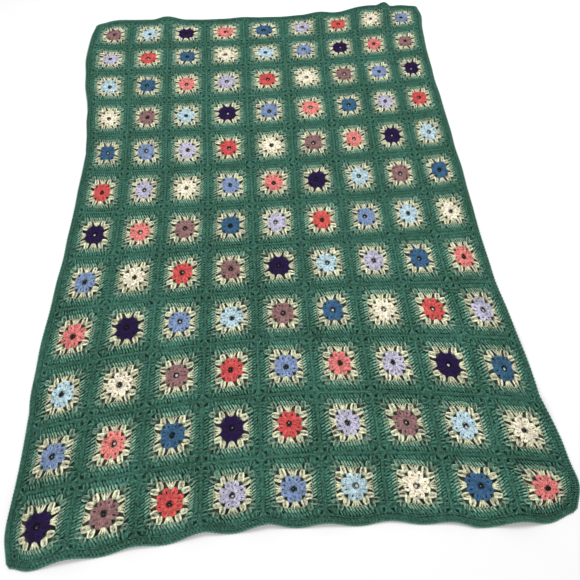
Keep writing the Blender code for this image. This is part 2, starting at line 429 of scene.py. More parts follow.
@dataclass
class YarnMesh:
    """Strands of yarn gathered as one mesh, with each strand's own run for the shader."""

    name: str
    points: list[np.ndarray] = field(default_factory=list)
    runs: list[np.ndarray] = field(default_factory=list)
    corners: list[np.ndarray] = field(default_factory=list)
    sizes: list[np.ndarray] = field(default_factory=list)
    under: list[np.ndarray] = field(default_factory=list)
    count: int = 0

    def faces_of(self, points: int, sides: int, twine: Twine) -> tuple[np.ndarray, ...]:
        """Makes one strand's faces.

        Args:
            points: how many points its path has.
            sides: points in each ring.
            twine: how it ends.

        Returns:
            The faces' corners in one list, each face's size, and whether it looks down.
        """
        faces, down = [], []
        low = range(sides // 2 - (sides + 1) % 2, sides // 2 + 1)
        spindle = twine is Twine.SPINDLE
        rings = points - 2 if spindle else points
        start = 1 if spindle else 0
        for ring in range(rings - 1 if spindle else rings):
            here, there = start + ring * sides, start + (ring + 1) % rings * sides
            for k in range(sides):
                after = (k + 1) % sides
                faces.append((here + k, there + k, there + after, here + after))
                down.append(k in low)
        if spindle:
            last = 1 + rings * sides
            for k in range(sides):
                after = (k + 1) % sides
                faces += [(0, 1 + k, 1 + after), (last, last - sides + after, last - sides + k)]
                down += [k in low] * 2
        return (
            np.array([corner for face in faces for corner in face]),
            np.array([len(face) for face in faces]),
            np.array(down),
        )

    def add(
        self,
        paths: np.ndarray,
        thick: np.ndarray,
        sides: int,
        twine: Twine,
        mood: np.ndarray,
        squash: float = 1.0,
    ) -> None:
        """Adds strands of one kind.

        Args:
            paths: their middles on the flat blanket, (strands, points, 3).
            thick: their radius at each point, (strands, points).
            sides: points round the yarn.
            twine: how they end.
            mood: each strand's own random tone, from 0 to 1, lowered by painted shade.
            squash: how tall the yarn stands for its width.
        """
        strands, points = paths.shape[:2]
        rings = rings_round(paths, thick, sides, twine is Twine.LOOP, squash)
        steps = np.linalg.norm(np.diff(paths, axis=1), axis=-1)
        along = np.concatenate([np.zeros((strands, 1)), np.cumsum(steps, axis=1)], axis=1)
        turn = (np.arange(sides) / sides + 0.5) % 1 - 0.5
        run = np.empty((strands, points, sides, 3))
        run[..., 0], run[..., 1] = along[..., None], turn
        run[..., 2] = mood[:, None, None]
        if twine is Twine.SPINDLE:
            tips = [paths[:, :1], paths[:, -1:]]
            ends = [run[:, 0, :1], run[:, -1, :1]]
            flat = np.concatenate([tips[0], rings[:, 1:-1].reshape(strands, -1, 3), tips[1]], axis=1)
            runs = np.concatenate([ends[0], run[:, 1:-1].reshape(strands, -1, 3), ends[1]], axis=1)
        else:
            flat, runs = rings.reshape(strands, -1, 3), run.reshape(strands, -1, 3)
        corners, sizes, down = self.faces_of(points, sides, twine)
        each = flat.shape[1]
        offsets = self.count + each * np.arange(strands)
        self.points.append(LAY.place(flat.reshape(-1, 3)))
        self.runs.append(runs.reshape(-1, 3))
        self.corners.append((corners[None] + offsets[:, None]).ravel())
        self.sizes.append(np.tile(sizes, strands))
        self.under.append(np.tile(down, strands))
        self.count += strands * each

    def add_band(self, inner: np.ndarray, outer: np.ndarray, mood: float, closed: bool) -> None:
        """Adds flat bands between two lines.

        Args:
            inner: each band's inner line on the flat blanket, (bands, points, 3).
            outer: its outer line, with as many points.
            mood: the bands' own value: below 0 for painted shade, above 1 for painted light.
            closed: whether each band runs round into its own start.
        """
        bands, points = inner.shape[:2]
        flat = np.concatenate([inner, outer], axis=1)
        k = np.arange(points if closed else points - 1)
        after = (k + 1) % points
        corners = np.stack([k, k + points, after + points, after], axis=-1).ravel()
        runs = np.zeros((bands * 2 * points, 3))
        runs[:, 2] = mood
        offsets = self.count + 2 * points * np.arange(bands)
        self.points.append(LAY.place(flat.reshape(-1, 3)))
        self.runs.append(runs)
        self.corners.append((corners[None] + offsets[:, None]).ravel())
        self.sizes.append(np.full(bands * len(k), 4))
        self.under.append(np.zeros(bands * len(k), bool))
        self.count += 2 * points * bands

    def build(self, material: bpy.types.Material, slot: str) -> bpy.types.Object:
        """Makes the mesh object, dresses it, and lets it ride on the blanket.

        Args:
            material: its yarn.
            slot: the record's material slot; not used.

        Returns:
            The piece.
        """
        points, corners = np.concatenate(self.points), np.concatenate(self.corners)
        sizes, runs = np.concatenate(self.sizes), np.concatenate(self.runs)
        mesh = mesh_from(self.name, points, corners, sizes, np.concatenate(self.under))
        place = mesh.attributes.new("yarn", "FLOAT_VECTOR", "POINT")
        place.data.foreach_set("vector", runs.astype(np.float32).ravel())
        return dressed(mesh, material)


def mesh_from(
    name: str, points: np.ndarray, corners: np.ndarray, sizes: np.ndarray, under: np.ndarray
) -> bpy.types.Mesh:
    """Makes a smooth mesh with a map seen from above for its finish.

    Args:
        name: the mesh's name.
        points: its points in the row frame.
        corners: the faces' corners in one list.
        sizes: how many corners each face has.
        under: whether each face looks down, and so has its own part of the map.

    Returns:
        The mesh.
    """
    mesh = bpy.data.meshes.new(name)
    mesh.vertices.add(len(points))
    mesh.vertices.foreach_set("co", points.astype(np.float32).ravel())
    mesh.loops.add(len(corners))
    mesh.loops.foreach_set("vertex_index", corners.astype(np.int32))
    mesh.polygons.add(len(sizes))
    starts = np.concatenate([[0], np.cumsum(sizes)[:-1]])
    mesh.polygons.foreach_set("loop_start", starts.astype(np.int32))
    mesh.polygons.foreach_set("loop_total", sizes.astype(np.int32))
    mesh.update(calc_edges=True)
    mesh.validate()
    mesh.shade_smooth()
    low, high = CAD_BOX
    seen = (points[corners][:, :2] - np.array(low[:2])) / (high.y - low.y)
    tucked = np.repeat(under, sizes)
    seen[tucked] = seen[tucked] * UNDER_STRIP_SCALE + (UNDER_STRIP_AT, 0.0)
    chart = mesh.uv_layers.new(name="OFBake")
    chart.uv.foreach_set("vector", np.clip(seen, 0.0, 1.0).astype(np.float32).ravel())
    return mesh


def dressed(mesh: bpy.types.Mesh, material: bpy.types.Material) -> bpy.types.Object:
    """Turns a mesh into a piece of the blanket with its yarn on it.

    Args:
        mesh: the piece's mesh.
        material: its yarn.

    Returns:
        The piece.
    """
    piece = bpy.data.objects.new(mesh.name, mesh)
    bpy.context.scene.collection.objects.link(piece)
    mesh.materials.append(material)
    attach(piece, BODY)
    return piece


def report(piece: bpy.types.Object) -> None:
    """Logs a piece's name and how many triangles it has."""
    triangles = sum(len(face.vertices) - 2 for face in piece.data.polygons)
    LOG.info("%s: %d triangles", piece.name, triangles)


# Yarn as a material --------------------------------------------------------------------------


def feed(tree: bpy.types.NodeTree, socket: bpy.types.NodeSocket, value: object) -> None:
    """Links an input to another node's output, or sets it to a plain value.

    Args:
        tree: the nodes' tree.
        socket: the input.
        value: the output, number or colour that it takes.
    """
    if isinstance(value, bpy.types.NodeSocket):
        tree.links.new(value, socket)
    else:
        socket.default_value = value


@dataclass(frozen=True)
class ShaderGroups:
    """The effects that every yarn shares, each one node group.

    Attributes:
        groove_sharpness: how narrow the grooves between the plies are.
        fibres: the scale and detail of the finest fuzz.
        tufts: those of its tufts.
        tuft_share: how high the tufts stand for the fibres.
        dullness_varies: how much duller the fibres' tops are.
        batches: the scale and detail of the dye's slow drift over the blanket.
        flecks: those of its flecks.
        fleck_share: how strong the flecks are for the slow drift.
        darkest: the least that any place keeps of its colour's value.
        hue_turn: how far the slow drift turns the hue.
    """

    groove_sharpness: float = 2.0
    fibres: tuple[float, float] = (1600.0, 2.0)
    tufts: tuple[float, float] = (350.0, 1.0)
    tuft_share: float = 0.5
    dullness_varies: float = 0.2
    batches: tuple[float, float] = (9.0, 2.0)
    flecks: tuple[float, float] = (240.0, 1.0)
    fleck_share: float = 4.0
    darkest: float = 0.04
    hue_turn: float = 0.03

    def start(
        self, name: str, inputs: Sequence[tuple], outputs: Sequence[tuple]
    ) -> tuple[bpy.types.NodeTree, bpy.types.Node, bpy.types.Node]:
        """Opens a node group.

        Args:
            name: its name.
            inputs: (name, socket type, value) of each input.
            outputs: (name, socket type) of each output.

        Returns:
            The group, its input node and its output node.
        """
        group = bpy.data.node_groups.new(name, "ShaderNodeTree")
        for label, kind, value in inputs:
            socket = group.interface.new_socket(label, in_out="INPUT", socket_type=kind)
            socket.default_value = value
        for label, kind in outputs:
            group.interface.new_socket(label, in_out="OUTPUT", socket_type=kind)
        return group, group.nodes.new("NodeGroupInput"), group.nodes.new("NodeGroupOutput")

    def math(self, tree: bpy.types.NodeTree, operation: str, *values: object) -> bpy.types.NodeSocket:
        """Adds a Math node.

        Args:
            tree: where it goes.
            operation: what it does.
            values: its inputs, sockets or plain numbers.

        Returns:
            Its result.
        """
        node = tree.nodes.new("ShaderNodeMath")
        node.operation = operation
        for socket, value in zip(node.inputs, values):
            feed(tree, socket, value)
        return node.outputs[0]

    def noise(
        self, tree: bpy.types.NodeTree, place: bpy.types.NodeSocket, scale: float, detail: float
    ) -> bpy.types.NodeSocket:
        """Adds a noise.

        Args:
            tree: where it goes.
            place: where it is read.
            scale: how many of its spots go into a metre.
            detail: how many finer layers it has.

        Returns:
            Its value.
        """
        node = tree.nodes.new("ShaderNodeTexNoise")
        node.inputs["Scale"].default_value = scale
        node.inputs["Detail"].default_value = detail
        tree.links.new(place, node.inputs["Vector"])
        return node.outputs["Fac"]

    def plies(self) -> bpy.types.NodeTree:
        """The twist of a yarn's plies: how high they stand, and the groove between them, which is where
        painted shade darkens the yarn.

        Returns:
            The node group.
        """
        group, into, out = self.start(
            "yarn_plies",
            [
                ("Along", "NodeSocketFloat", 0.0),
                ("Round", "NodeSocketFloat", 0.0),
                ("Plies", "NodeSocketFloat", 3.0),
                ("Twist Length", "NodeSocketFloat", 0.009),
            ],
            [("Height", "NodeSocketFloat"), ("Groove", "NodeSocketFloat")],
        )
        ways = self.math(group, "DIVIDE", into.outputs["Along"], into.outputs["Twist Length"])
        turns = self.math(group, "ADD", ways, into.outputs["Round"])
        angle = self.math(group, "MULTIPLY", turns, into.outputs["Plies"])
        wave = self.math(group, "SINE", self.math(group, "MULTIPLY", angle, 2 * math.pi))
        height = self.math(group, "MULTIPLY_ADD", wave, 0.5, 0.5)
        group.links.new(height, out.inputs["Height"])
        low = self.math(group, "SUBTRACT", 1.0, height)
        groove = self.math(group, "POWER", low, self.groove_sharpness)
        group.links.new(groove, out.inputs["Groove"])
        return group

    def fuzz(self) -> bpy.types.NodeTree:
        """The loose fibres of the yarn: a fine height and how dull it is.

        Returns:
            The node group.
        """
        group, into, out = self.start(
            "yarn_fuzz",
            [("Place", "NodeSocketVector", (0.0, 0.0, 0.0)), ("Dullness", "NodeSocketFloat", 0.8)],
            [("Height", "NodeSocketFloat"), ("Roughness", "NodeSocketFloat")],
        )
        fibres = self.noise(group, into.outputs["Place"], *self.fibres)
        tufts = self.noise(group, into.outputs["Place"], *self.tufts)
        height = self.math(group, "MULTIPLY_ADD", tufts, self.tuft_share, fibres)
        group.links.new(height, out.inputs["Height"])
        dull = self.math(group, "MULTIPLY_ADD", fibres, self.dullness_varies, into.outputs["Dullness"])
        group.links.new(dull, out.inputs["Roughness"])
        return group

    def dye_and_shade(self) -> bpy.types.NodeTree:
        """The drift of the dyeing, strand by strand and slowly over the blanket, with painted shade in
        the grooves and on strands whose value is lowered.

        Returns:
            The node group.
        """
        group, into, out = self.start(
            "yarn_dye_and_shade",
            [
                ("Colour", "NodeSocketColor", (0.5, 0.5, 0.5, 1.0)),
                ("Place", "NodeSocketVector", (0.0, 0.0, 0.0)),
                ("Strand", "NodeSocketFloat", 0.5),
                ("Groove", "NodeSocketFloat", 0.0),
                ("Drift", "NodeSocketFloat", 0.2),
                ("Groove Depth", "NodeSocketFloat", 0.35),
            ],
            [("Colour", "NodeSocketColor")],
        )
        batches = self.noise(group, into.outputs["Place"], *self.batches)
        batch = self.math(group, "SUBTRACT", batches, 0.5)
        flecks = self.noise(group, into.outputs["Place"], *self.flecks)
        fleck = self.math(group, "SUBTRACT", flecks, 0.5)
        # The strand's value: its random tone, with painted shade below 0 and painted light above 1.
        strand = self.math(group, "SUBTRACT", into.outputs["Strand"], 0.5)
        uneven = self.math(group, "MULTIPLY_ADD", fleck, self.fleck_share, batch)
        uneven = self.math(group, "ADD", uneven, strand)
        lighter = self.math(group, "MULTIPLY_ADD", uneven, into.outputs["Drift"], 1.0)
        lighter = self.math(group, "MAXIMUM", lighter, self.darkest)
        # Painted shade: the grooves between the plies are darkened.
        dark = self.math(group, "MULTIPLY", into.outputs["Groove"], into.outputs["Groove Depth"])
        value = self.math(group, "MULTIPLY", lighter, self.math(group, "SUBTRACT", 1.0, dark))
        hue = group.nodes.new("ShaderNodeHueSaturation")
        turn = self.math(group, "MULTIPLY_ADD", batch, self.hue_turn, 0.5)
        group.links.new(turn, hue.inputs["Hue"])
        group.links.new(value, hue.inputs["Value"])
        group.links.new(into.outputs["Colour"], hue.inputs["Color"])
        group.links.new(hue.outputs["Color"], out.inputs["Colour"])
        return group


@dataclass(frozen=True)
class YarnFinish:
    """One yarn: its colour as dyed and how it is spun.

    Attributes:
        slot: the record's material slot.
        colour: its colour, linear.
        drift: how much strands and places differ in value, and how far a lowered value darkens them as
            painted shade.
        groove_shade: how much painted shade darkens the grooves between the plies.
        dullness: its roughness between the fibres.
        sheen: the weight of the fibres' sheen.
        plies: how many plies are twisted together.
        twist_length: how long one turn of the twist is, in metres.
        ply_stands: how high the plies stand, in metres.
        fuzz_stands: how high the fuzz stands, in metres.
        sheen_roughness: how wide the sheen spreads.
        specular: its specular level.
    """

    slot: str
    colour: tuple[float, float, float]
    drift: float = 0.42
    groove_shade: float = 0.42
    dullness: float = 0.78
    sheen: float = 0.04
    plies: float = 3.0
    twist_length: float = 0.010
    ply_stands: float = 0.0009
    fuzz_stands: float = 0.00015
    sheen_roughness: float = 0.5
    specular: float = 0.12

    def material(self, groups: dict[str, bpy.types.NodeTree]) -> bpy.types.Material:
        """Makes the yarn's material from the shared groups.

        Args:
            groups: the node groups by name.

        Returns:
            The material.
        """
        made = bpy.data.materials.new(f"spun_{self.slot}")
        made.use_nodes = True
        tree = made.node_tree
        shader = tree.nodes["Principled BSDF"]
        spot = tree.nodes.new("ShaderNodeTexCoord").outputs["Object"]
        strand = tree.nodes.new("ShaderNodeAttribute")
        strand.attribute_name = "yarn"
        parts = tree.nodes.new("ShaderNodeSeparateXYZ")
        tree.links.new(strand.outputs["Vector"], parts.inputs["Vector"])

        def group(name: str, **values: object) -> bpy.types.Node:
            """Places a shared group.

            Args:
                name: which one.
                values: its inputs by name, sockets or plain values.

            Returns:
                Its node.
            """
            node = tree.nodes.new("ShaderNodeGroup")
            node.node_tree = groups[name]
            for label, value in values.items():
                feed(tree, node.inputs[label.replace("_", " ")], value)
            return node

        plies = group(
            "plies",
            Along=parts.outputs["X"],
            Round=parts.outputs["Y"],
            Plies=self.plies,
            Twist_Length=self.twist_length,
        )
        fuzz = group("fuzz", Place=spot, Dullness=self.dullness)
        # The colour: the yarn's random tone, with painted shade in the grooves and on lowered strands.
        dye_and_shade = group(
            "dye_and_shade",
            Colour=(*self.colour, 1.0),
            Place=spot,
            Strand=parts.outputs["Z"],
            Groove=plies.outputs["Groove"],
            Drift=self.drift,
            Groove_Depth=self.groove_shade,
        )
        tree.links.new(dye_and_shade.outputs["Colour"], shader.inputs["Base Color"])
        tree.links.new(fuzz.outputs["Roughness"], shader.inputs["Roughness"])
        normal = None
        for height, stands in ((plies, self.ply_stands), (fuzz, self.fuzz_stands)):
            bump = tree.nodes.new("ShaderNodeBump")
            bump.inputs["Distance"].default_value = stands
            tree.links.new(height.outputs["Height"], bump.inputs["Height"])
            if normal:
                tree.links.new(normal, bump.inputs["Normal"])
            normal = bump.outputs["Normal"]
        tree.links.new(normal, shader.inputs["Normal"])
        shader.inputs["Sheen Weight"].default_value = self.sheen
        shader.inputs["Sheen Roughness"].default_value = self.sheen_roughness
        shader.inputs["Specular IOR Level"].default_value = self.specular
        return made


class Yarn(Enum):
    """The yarns by letter: first those of the rounds, then the flowers' as they stand in the chart."""

    # Not a yarn: the near-black green of the sheet of painted shade under the stitches.
    PAINTED_SHADE_GREEN = "D"
    GREEN = "G"
    EDGING = "E"
    BUTTER = "F"
    SAGE = "A"
    MAUVE = "M"
    LIGHT_BLUE = "L"
    PURPLE = "P"
    SALMON = "S"
    BLUE = "B"
    LAVENDER = "V"
    RED = "R"
    CREAM = "C"
    PERIWINKLE = "W"


YARNS: dict[Yarn, YarnFinish] = {
    # The sheet of painted shade: near-black green, so that the gaps between stitches read dark.
    Yarn.PAINTED_SHADE_GREEN: YarnFinish("green_yarn", (0.003, 0.008, 0.006), drift=0.1),
    Yarn.GREEN: YarnFinish("green_yarn", (0.078, 0.258, 0.182)),
    Yarn.EDGING: YarnFinish("edging_yarn", (0.057, 0.187, 0.132)),
    Yarn.BUTTER: YarnFinish("butter_yarn", (0.73, 0.74, 0.515)),
    Yarn.SAGE: YarnFinish("sage_yarn", (0.272, 0.462, 0.335), drift=0.48),
    Yarn.MAUVE: YarnFinish("mauve_yarn", (0.292, 0.158, 0.157)),
    Yarn.LIGHT_BLUE: YarnFinish("light_blue_yarn", (0.495, 0.655, 0.715)),
    Yarn.PURPLE: YarnFinish("purple_yarn", (0.0147, 0.0028, 0.051)),
    Yarn.SALMON: YarnFinish("salmon_yarn", (0.745, 0.238, 0.213)),
    Yarn.BLUE: YarnFinish("blue_yarn", (0.044, 0.128, 0.232)),
    Yarn.LAVENDER: YarnFinish("lavender_yarn", (0.513, 0.49, 0.605)),
    Yarn.RED: YarnFinish("red_yarn", (0.63, 0.096, 0.091)),
    Yarn.CREAM: YarnFinish("cream_yarn", (0.873, 0.80, 0.635)),
    Yarn.PERIWINKLE: YarnFinish("periwinkle_yarn", (0.224, 0.308, 0.487)),
}

# The chart of the flowers: the far row first, and each row from the left.
FLOWERS: tuple[str, ...] = (
    "MLPSBVRCW",
    "VRBCLWPSM",
    "LBSVRCMWP",
    "CMLPWSBVR",
    "BWVRCMSPL",
    "RVCWSPLMB",
    "PSMBVRWLC",
    "WCRMPLVBS",
    "SPWLMBCRV",
    "LCMRWSVPB",
    "WSBPRVMLC",
    "PMRVWLCBS",
)


# Squares -------------------------------------------------------------------------------------


@dataclass
class Squares:
    """The grid of squares, each pulled a little out of true as handmade squares are.

    Attributes:
        lattice: knots to a side of the lattice that a square is pulled by.
        pull: how far a knot strays, in metres.
        twist: how far a square's inside turns, in radians.
        settled: how far every square's inside sits off its middle, in metres.
        sway: how far a whole strand strays, in metres.
        sway_up: the share of it that goes upwards.
        wobble: how far a strand's points stray, as a share of its sway.
        wobble_up: the share of it that goes upwards.
        plump: how much the yarn's radius varies.
        chance: the generator of all that differs between squares.
        middles: the squares' middles on the flat blanket, (squares, 2).
        pulls: how far the knots are pulled, (squares, lattice, lattice, 2).
    """

    lattice: int = 5
    pull: float = 0.0015
    twist: float = math.radians(2.5)
    settled: tuple[float, float] = (0.0012, -0.0012)
    sway: float = 0.00028
    sway_up: float = 0.7
    wobble: float = 0.6
    wobble_up: float = 0.5
    plump: float = 0.07
    chance: np.random.Generator = field(init=False, repr=False)
    middles: np.ndarray = field(init=False, repr=False)
    pulls: np.ndarray = field(init=False, repr=False)

    def __post_init__(self) -> None:
        """Finds the squares' middles, and draws how the knots of each one's lattice are pulled."""
        self.chance = np.random.default_rng(SEED)
        rows, columns = np.mgrid[0 : LAY.rows, 0 : LAY.columns]
        across = columns.ravel() - (LAY.columns - 1) / 2
        along = (LAY.rows - 1) / 2 - rows.ravel()
        self.middles = np.stack([across, along], axis=-1) * LAY.square
        n = self.lattice
        self.pulls = np.zeros((len(self.middles), n, n, 2))
        inner = self.chance.normal(0.0, self.pull, (len(self.middles), n - 2, n - 2, 2))
        nodes = (np.arange(1, n - 1) / (n - 1) - 0.5) * LAY.square
        x, y = np.meshgrid(nodes, nodes)
        angle = self.chance.normal(0.0, self.twist, (len(self.middles), 1, 1))
        inner += np.stack([-angle * y, angle * x], axis=-1) + self.settled
        self.pulls[:, 1:-1, 1:-1] = inner

    def pulled(self, which: np.ndarray, flat: np.ndarray) -> np.ndarray:
        """Pulls points of some squares out of true.

        Args:
            which: the squares' numbers.
            flat: their points from the square's middle, (squares, points, 2).

        Returns:
            How far each point moves, in the same shape.
        """
        cells = self.lattice - 1
        at = np.clip(flat / LAY.square + 0.5, 0.0, 1.0 - TINY_SHARE) * cells
        cell = np.floor(at).astype(int)
        t = at - cell
        t = t * t * (3 - 2 * t)
        one = which[:, None]
        total = np.zeros(flat.shape)
        for i in (0, 1):
            for j in (0, 1):
                weight = (t[..., 1] if i else 1 - t[..., 1]) * (t[..., 0] if j else 1 - t[..., 0])
                total += weight[..., None] * self.pulls[one, cell[..., 1] + i, cell[..., 0] + j]
        return total

    def settle(self, lines: np.ndarray, which: np.ndarray) -> np.ndarray:
        """Moves lines of several squares to their places on the flat blanket.

        Args:
            lines: each square's lines from its middle, (squares, lines, points, 3).
            which: the squares' numbers.

        Returns:
            The lines in their places, (squares * lines, points, 3).
        """
        flat = lines[..., :2].reshape(len(which), -1, 2)
        flat = flat + self.pulled(which, flat) + self.middles[which][:, None]
        flat = flat.reshape(*lines.shape[:-1], 2)
        return np.concatenate([flat, lines[..., 2:]], axis=-1).reshape(-1, *lines.shape[2:])

    def put(self, lines: np.ndarray, which: np.ndarray) -> np.ndarray:
        """Puts the same lines (lines, points, 3) into several squares, as settle does."""
        return self.settle(np.broadcast_to(lines, (len(which), *lines.shape)), which)

    def work(
        self,
        mesh: YarnMesh,
        paths: np.ndarray,
        thick: np.ndarray,
        sides: int = STRAND_SIDES,
        twine: Twine = Twine.SPINDLE,
        which: np.ndarray | None = None,
        squash: float = 1.0,
        shade: np.ndarray | float = 0.0,
    ) -> None:
        """Works the same strands into each square, each a little different.

        Args:
            mesh: the mesh that takes them.
            paths: the strands in a square, from its middle, (strands, points, 3).
            thick: the yarn's radius at each point of a strand, (points,) or (strands, points).
            sides: points round the yarn.
            twine: how the strands end.
            which: the squares' numbers, or None for all.
            squash: how tall the yarn stands for its width.
            shade: how much painted shade darkens each strand, from 0 to 1.
        """
        which = np.arange(len(self.middles)) if which is None else which
        strands, points = paths.shape[:2]
        shape = (len(which), strands, points)
        sway = self.chance.normal(0.0, self.sway, (len(which), strands, 1, 3)) * (1, 1, self.sway_up)
        wobble = self.chance.normal(0.0, self.sway * self.wobble, (*shape, 3)) * (1, 1, self.wobble_up)
        plump = 1 + self.chance.normal(0.0, self.plump, (len(which), strands, 1))
        radii = (np.broadcast_to(thick, shape) * plump).reshape(-1, points)
        # Each strand's random tone, lowered by its painted shade.
        mood = (self.chance.random((len(which), strands)) - shade).ravel()
        mesh.add(self.settle(paths + sway + wobble, which), radii, sides, twine, mood, squash)

    def lay_webs(self, mesh: YarnMesh, strips: Iterable["WebStrip"], mood: float) -> None:
        """Lays strips darkened with painted shade into each square.

        Args:
            mesh: the mesh that takes them.
            strips: the strips.
            mood: their value, below 0 for painted shade.
        """
        which = np.arange(len(self.middles))
        for strip in strips:
            mesh.add_band(*(self.put(line, which) for line in strip.lines()), mood, False)


# Stitch shapes -------------------------------------------------------------------------------


def ring_line(out: float, high: float, points: int) -> np.ndarray:
    """Draws a circle round the square's middle.

    Args:
        out: its radius, in mm.
        high: its height, in mm.
        points: how many points it has.

    Returns:
        Its line, (1, points, 3).
    """
    angle = 2 * np.pi * np.arange(points) / points
    line = [out * np.cos(angle), out * np.sin(angle), np.full(points, high)]
    return np.stack(line, axis=-1)[None] * MM


class PostRow(NamedTuple):
    """One section of a post of yarn, in mm: how far out, its height and its radius."""

    out: float
    high: float
    thick: float


class WebStrip(NamedTuple):
    """A band of yarn under one side's stitches, darkened with painted shade, in mm: how far out it
    begins and ends, how wide.
    """

    inner: float
    outer: float
    half_inner: float
    half_outer: float
    high: float

    def lines(self) -> list[np.ndarray]:
        """Draws the strip's two lines on every side of the square.

        Returns:
            The inner and the outer lines, both (4, points, 3).
        """
        share = np.linspace(1.0, -1.0, WEB_POINTS)
        made = []
        for half, out in ((self.half_inner, self.inner), (self.half_outer, self.outer)):
            line = np.stack(np.broadcast_arrays(half * share, out, self.high), axis=-1) * MM
            made.append(turned(line[None], QUARTERS))
        return made


class PuffRow(NamedTuple):
    """One section of a puff, in mm: its place along, the strands' distances aside and heights."""

    out: float
    rim_aside: float
    heart_aside: float
    rim_high: float
    heart_high: float
    thick: float


def column(rows: Iterable[NamedTuple], name: str) -> np.ndarray:
    """One column of a table of sections in mm, in metres."""
    return np.array([getattr(row, name) for row in rows]) * MM


def radial(rows: Iterable[PostRow]) -> np.ndarray:
    """One strand that runs straight out along +Y, (1, points, 3)."""
    out, high = column(rows, "out"), column(rows, "high")
    return np.stack([np.zeros(len(out)), out, high], axis=-1)[None]


def tilted(strands: np.ndarray, angle: float) -> np.ndarray:
    """Turns strands round the square's middle by one angle."""
    c, s = math.cos(angle), math.sin(angle)
    return strands @ np.array([[c, s, 0], [-s, c, 0], [0, 0, 1]])


def puff_strands(rows: Sequence[PuffRow]) -> np.ndarray:
    """The four strands of a puff along +Y: two round its rim and two by its heart.

    Args:
        rows: the puff's sections.

    Returns:
        The strands (4, points, 3), out of the puff's own foot.
    """
    out, strands = column(rows, "out"), []
    for part, side in (("rim", -1), ("heart", -1), ("heart", 1), ("rim", 1)):
        aside, high = side * column(rows, f"{part}_aside"), column(rows, f"{part}_high")
        strands.append(np.stack([aside, out, high], axis=-1))
    return np.array(strands)


def post_row(
    rows: Sequence[PostRow],
    count: int,
    steps: tuple[float, float],
    leans: tuple[float, float],
    flare: float = 1.0,
) -> np.ndarray:
    """Stands a row of posts along one side.

    Args:
        rows: a post's sections.
        count: how many posts.
        steps: how far apart they stand at foot and top, in mm.
        leans: how far they lean aside at foot and top, in mm.
        flare: how late they spread from the one step to the other.

    Returns:
        The posts, (count, points, 3).
    """
    out, high = column(rows, "out"), column(rows, "high")
    share = (out - out[0]) / (out[-1] - out[0])
    step = steps[0] + (steps[1] - steps[0]) * share**flare
    lean = leans[0] + (leans[1] - leans[0]) * share
    places = (np.arange(count) - (count - 1) / 2)[:, None]
    return np.stack(np.broadcast_arrays((places * step + lean) * MM, out, high), axis=-1)


def leant(strands: np.ndarray, foot: tuple[float, float], tip: tuple[float, float]) -> np.ndarray:
    """Turns strands that run out along +Y from 0 so that they run from a foot to a tip.

    Args:
        strands: strands (strands, points, 3) that start at the origin.
        foot: where they start, in mm.
        tip: where they end, in mm.

    Returns:
        The strands in their place, stretched to fit.
    """
    way = (np.array(tip) - np.array(foot)) * MM
    share = strands[..., 1] / strands[..., 1].max()
    length = np.hypot(*way)
    aside = np.array([way[1], -way[0]]) / length
    made = strands.copy()
    made[..., 0] = foot[0] * MM + share * way[0] + strands[..., 0] * aside[0]
    made[..., 1] = foot[1] * MM + share * way[1] + strands[..., 0] * aside[1]
    return made


def corner_puffs(
    rows: Sequence[PuffRow],
    foot: tuple[float, float],
    tip: tuple[float, float],
    leans: tuple[float, float],
) -> np.ndarray:
    """Sets a puff to each side of every corner's diagonal.

    Args:
        rows: a puff's sections.
        foot: how far aside of the side's middle and how far out it starts, in mm.
        tip: likewise where it ends.
        leans: how far both puffs of a side lean aside at foot and tip, in mm.

    Returns:
        All their strands, (32, points, 3).
    """
    shape = puff_strands(rows)
    pair = [
        leant(shape, (way * foot[0] + leans[0], foot[1]), (way * tip[0] + leans[1], tip[1]))
        for way in (-1, 1)
    ]
    return turned(np.concatenate(pair), QUARTERS)


@dataclass(frozen=True)
class LoopEdge:
    """The slanting loops that end a round, along a rounded square: sizes in mm."""

    half: float
    corner: float
    loops: int
    reach: float
    slant: float
    high: float
    thick: float
    arch: float = 0.5
    line_points: int = 2880

    def line(self) -> tuple[np.ndarray, np.ndarray]:
        """Where the loops lie.

        Returns:
            Their middles and their ways along the edge, both (loops, 2).
        """
        power = math.log(2) / math.log(self.half / self.corner)
        angle = np.linspace(0, 2 * np.pi, self.line_points, endpoint=False)
        c, s = np.cos(angle), np.sin(angle)
        far = self.half * (np.abs(c) ** power + np.abs(s) ** power) ** (-1 / power)
        line = np.stack([far * c, far * s], axis=-1)
        steps = np.linalg.norm(np.roll(line, -1, axis=0) - line, axis=-1)
        run = np.concatenate([[0.0], np.cumsum(steps)])
        at = np.linspace(0, run[-1], self.loops, endpoint=False)
        ends = np.concatenate([line, line[:1]])
        middles = np.stack([np.interp(at, run, ends[:, k]) for k in (0, 1)], axis=-1)
        ways = np.roll(middles, -1, axis=0) - np.roll(middles, 1, axis=0)
        return middles, ways / np.linalg.norm(ways, axis=-1, keepdims=True)

    def paths(self) -> np.ndarray:
        """Draws the loops.

        Returns:
            Their strands, (loops, points, 3).
        """
        middles, ways = self.line()
        out = np.stack([ways[:, 1], -ways[:, 0]], axis=-1)
        share = LOOP_SHARES[:, None]
        flat = middles[:, None] + share * (ways * self.reach + out * self.slant)[:, None]
        high = self.high + self.arch * (1 - share**2) + np.zeros((self.loops, 1, 1))
        return np.concatenate([flat, high], axis=-1) * MM

    def radii(self) -> np.ndarray:
        """The yarn's radius at each point of a loop."""
        return LOOP_BULK * self.thick * MM


# Rounds of a square --------------------------------------------------------------------------


class RingWeb(NamedTuple):
    """Closed yarn round a flower's middle: from and to how far out, in mm, and its value, below 0 for
    painted shade and above 1 for painted light.
    """

    inner: float
    outer: float
    mood: float


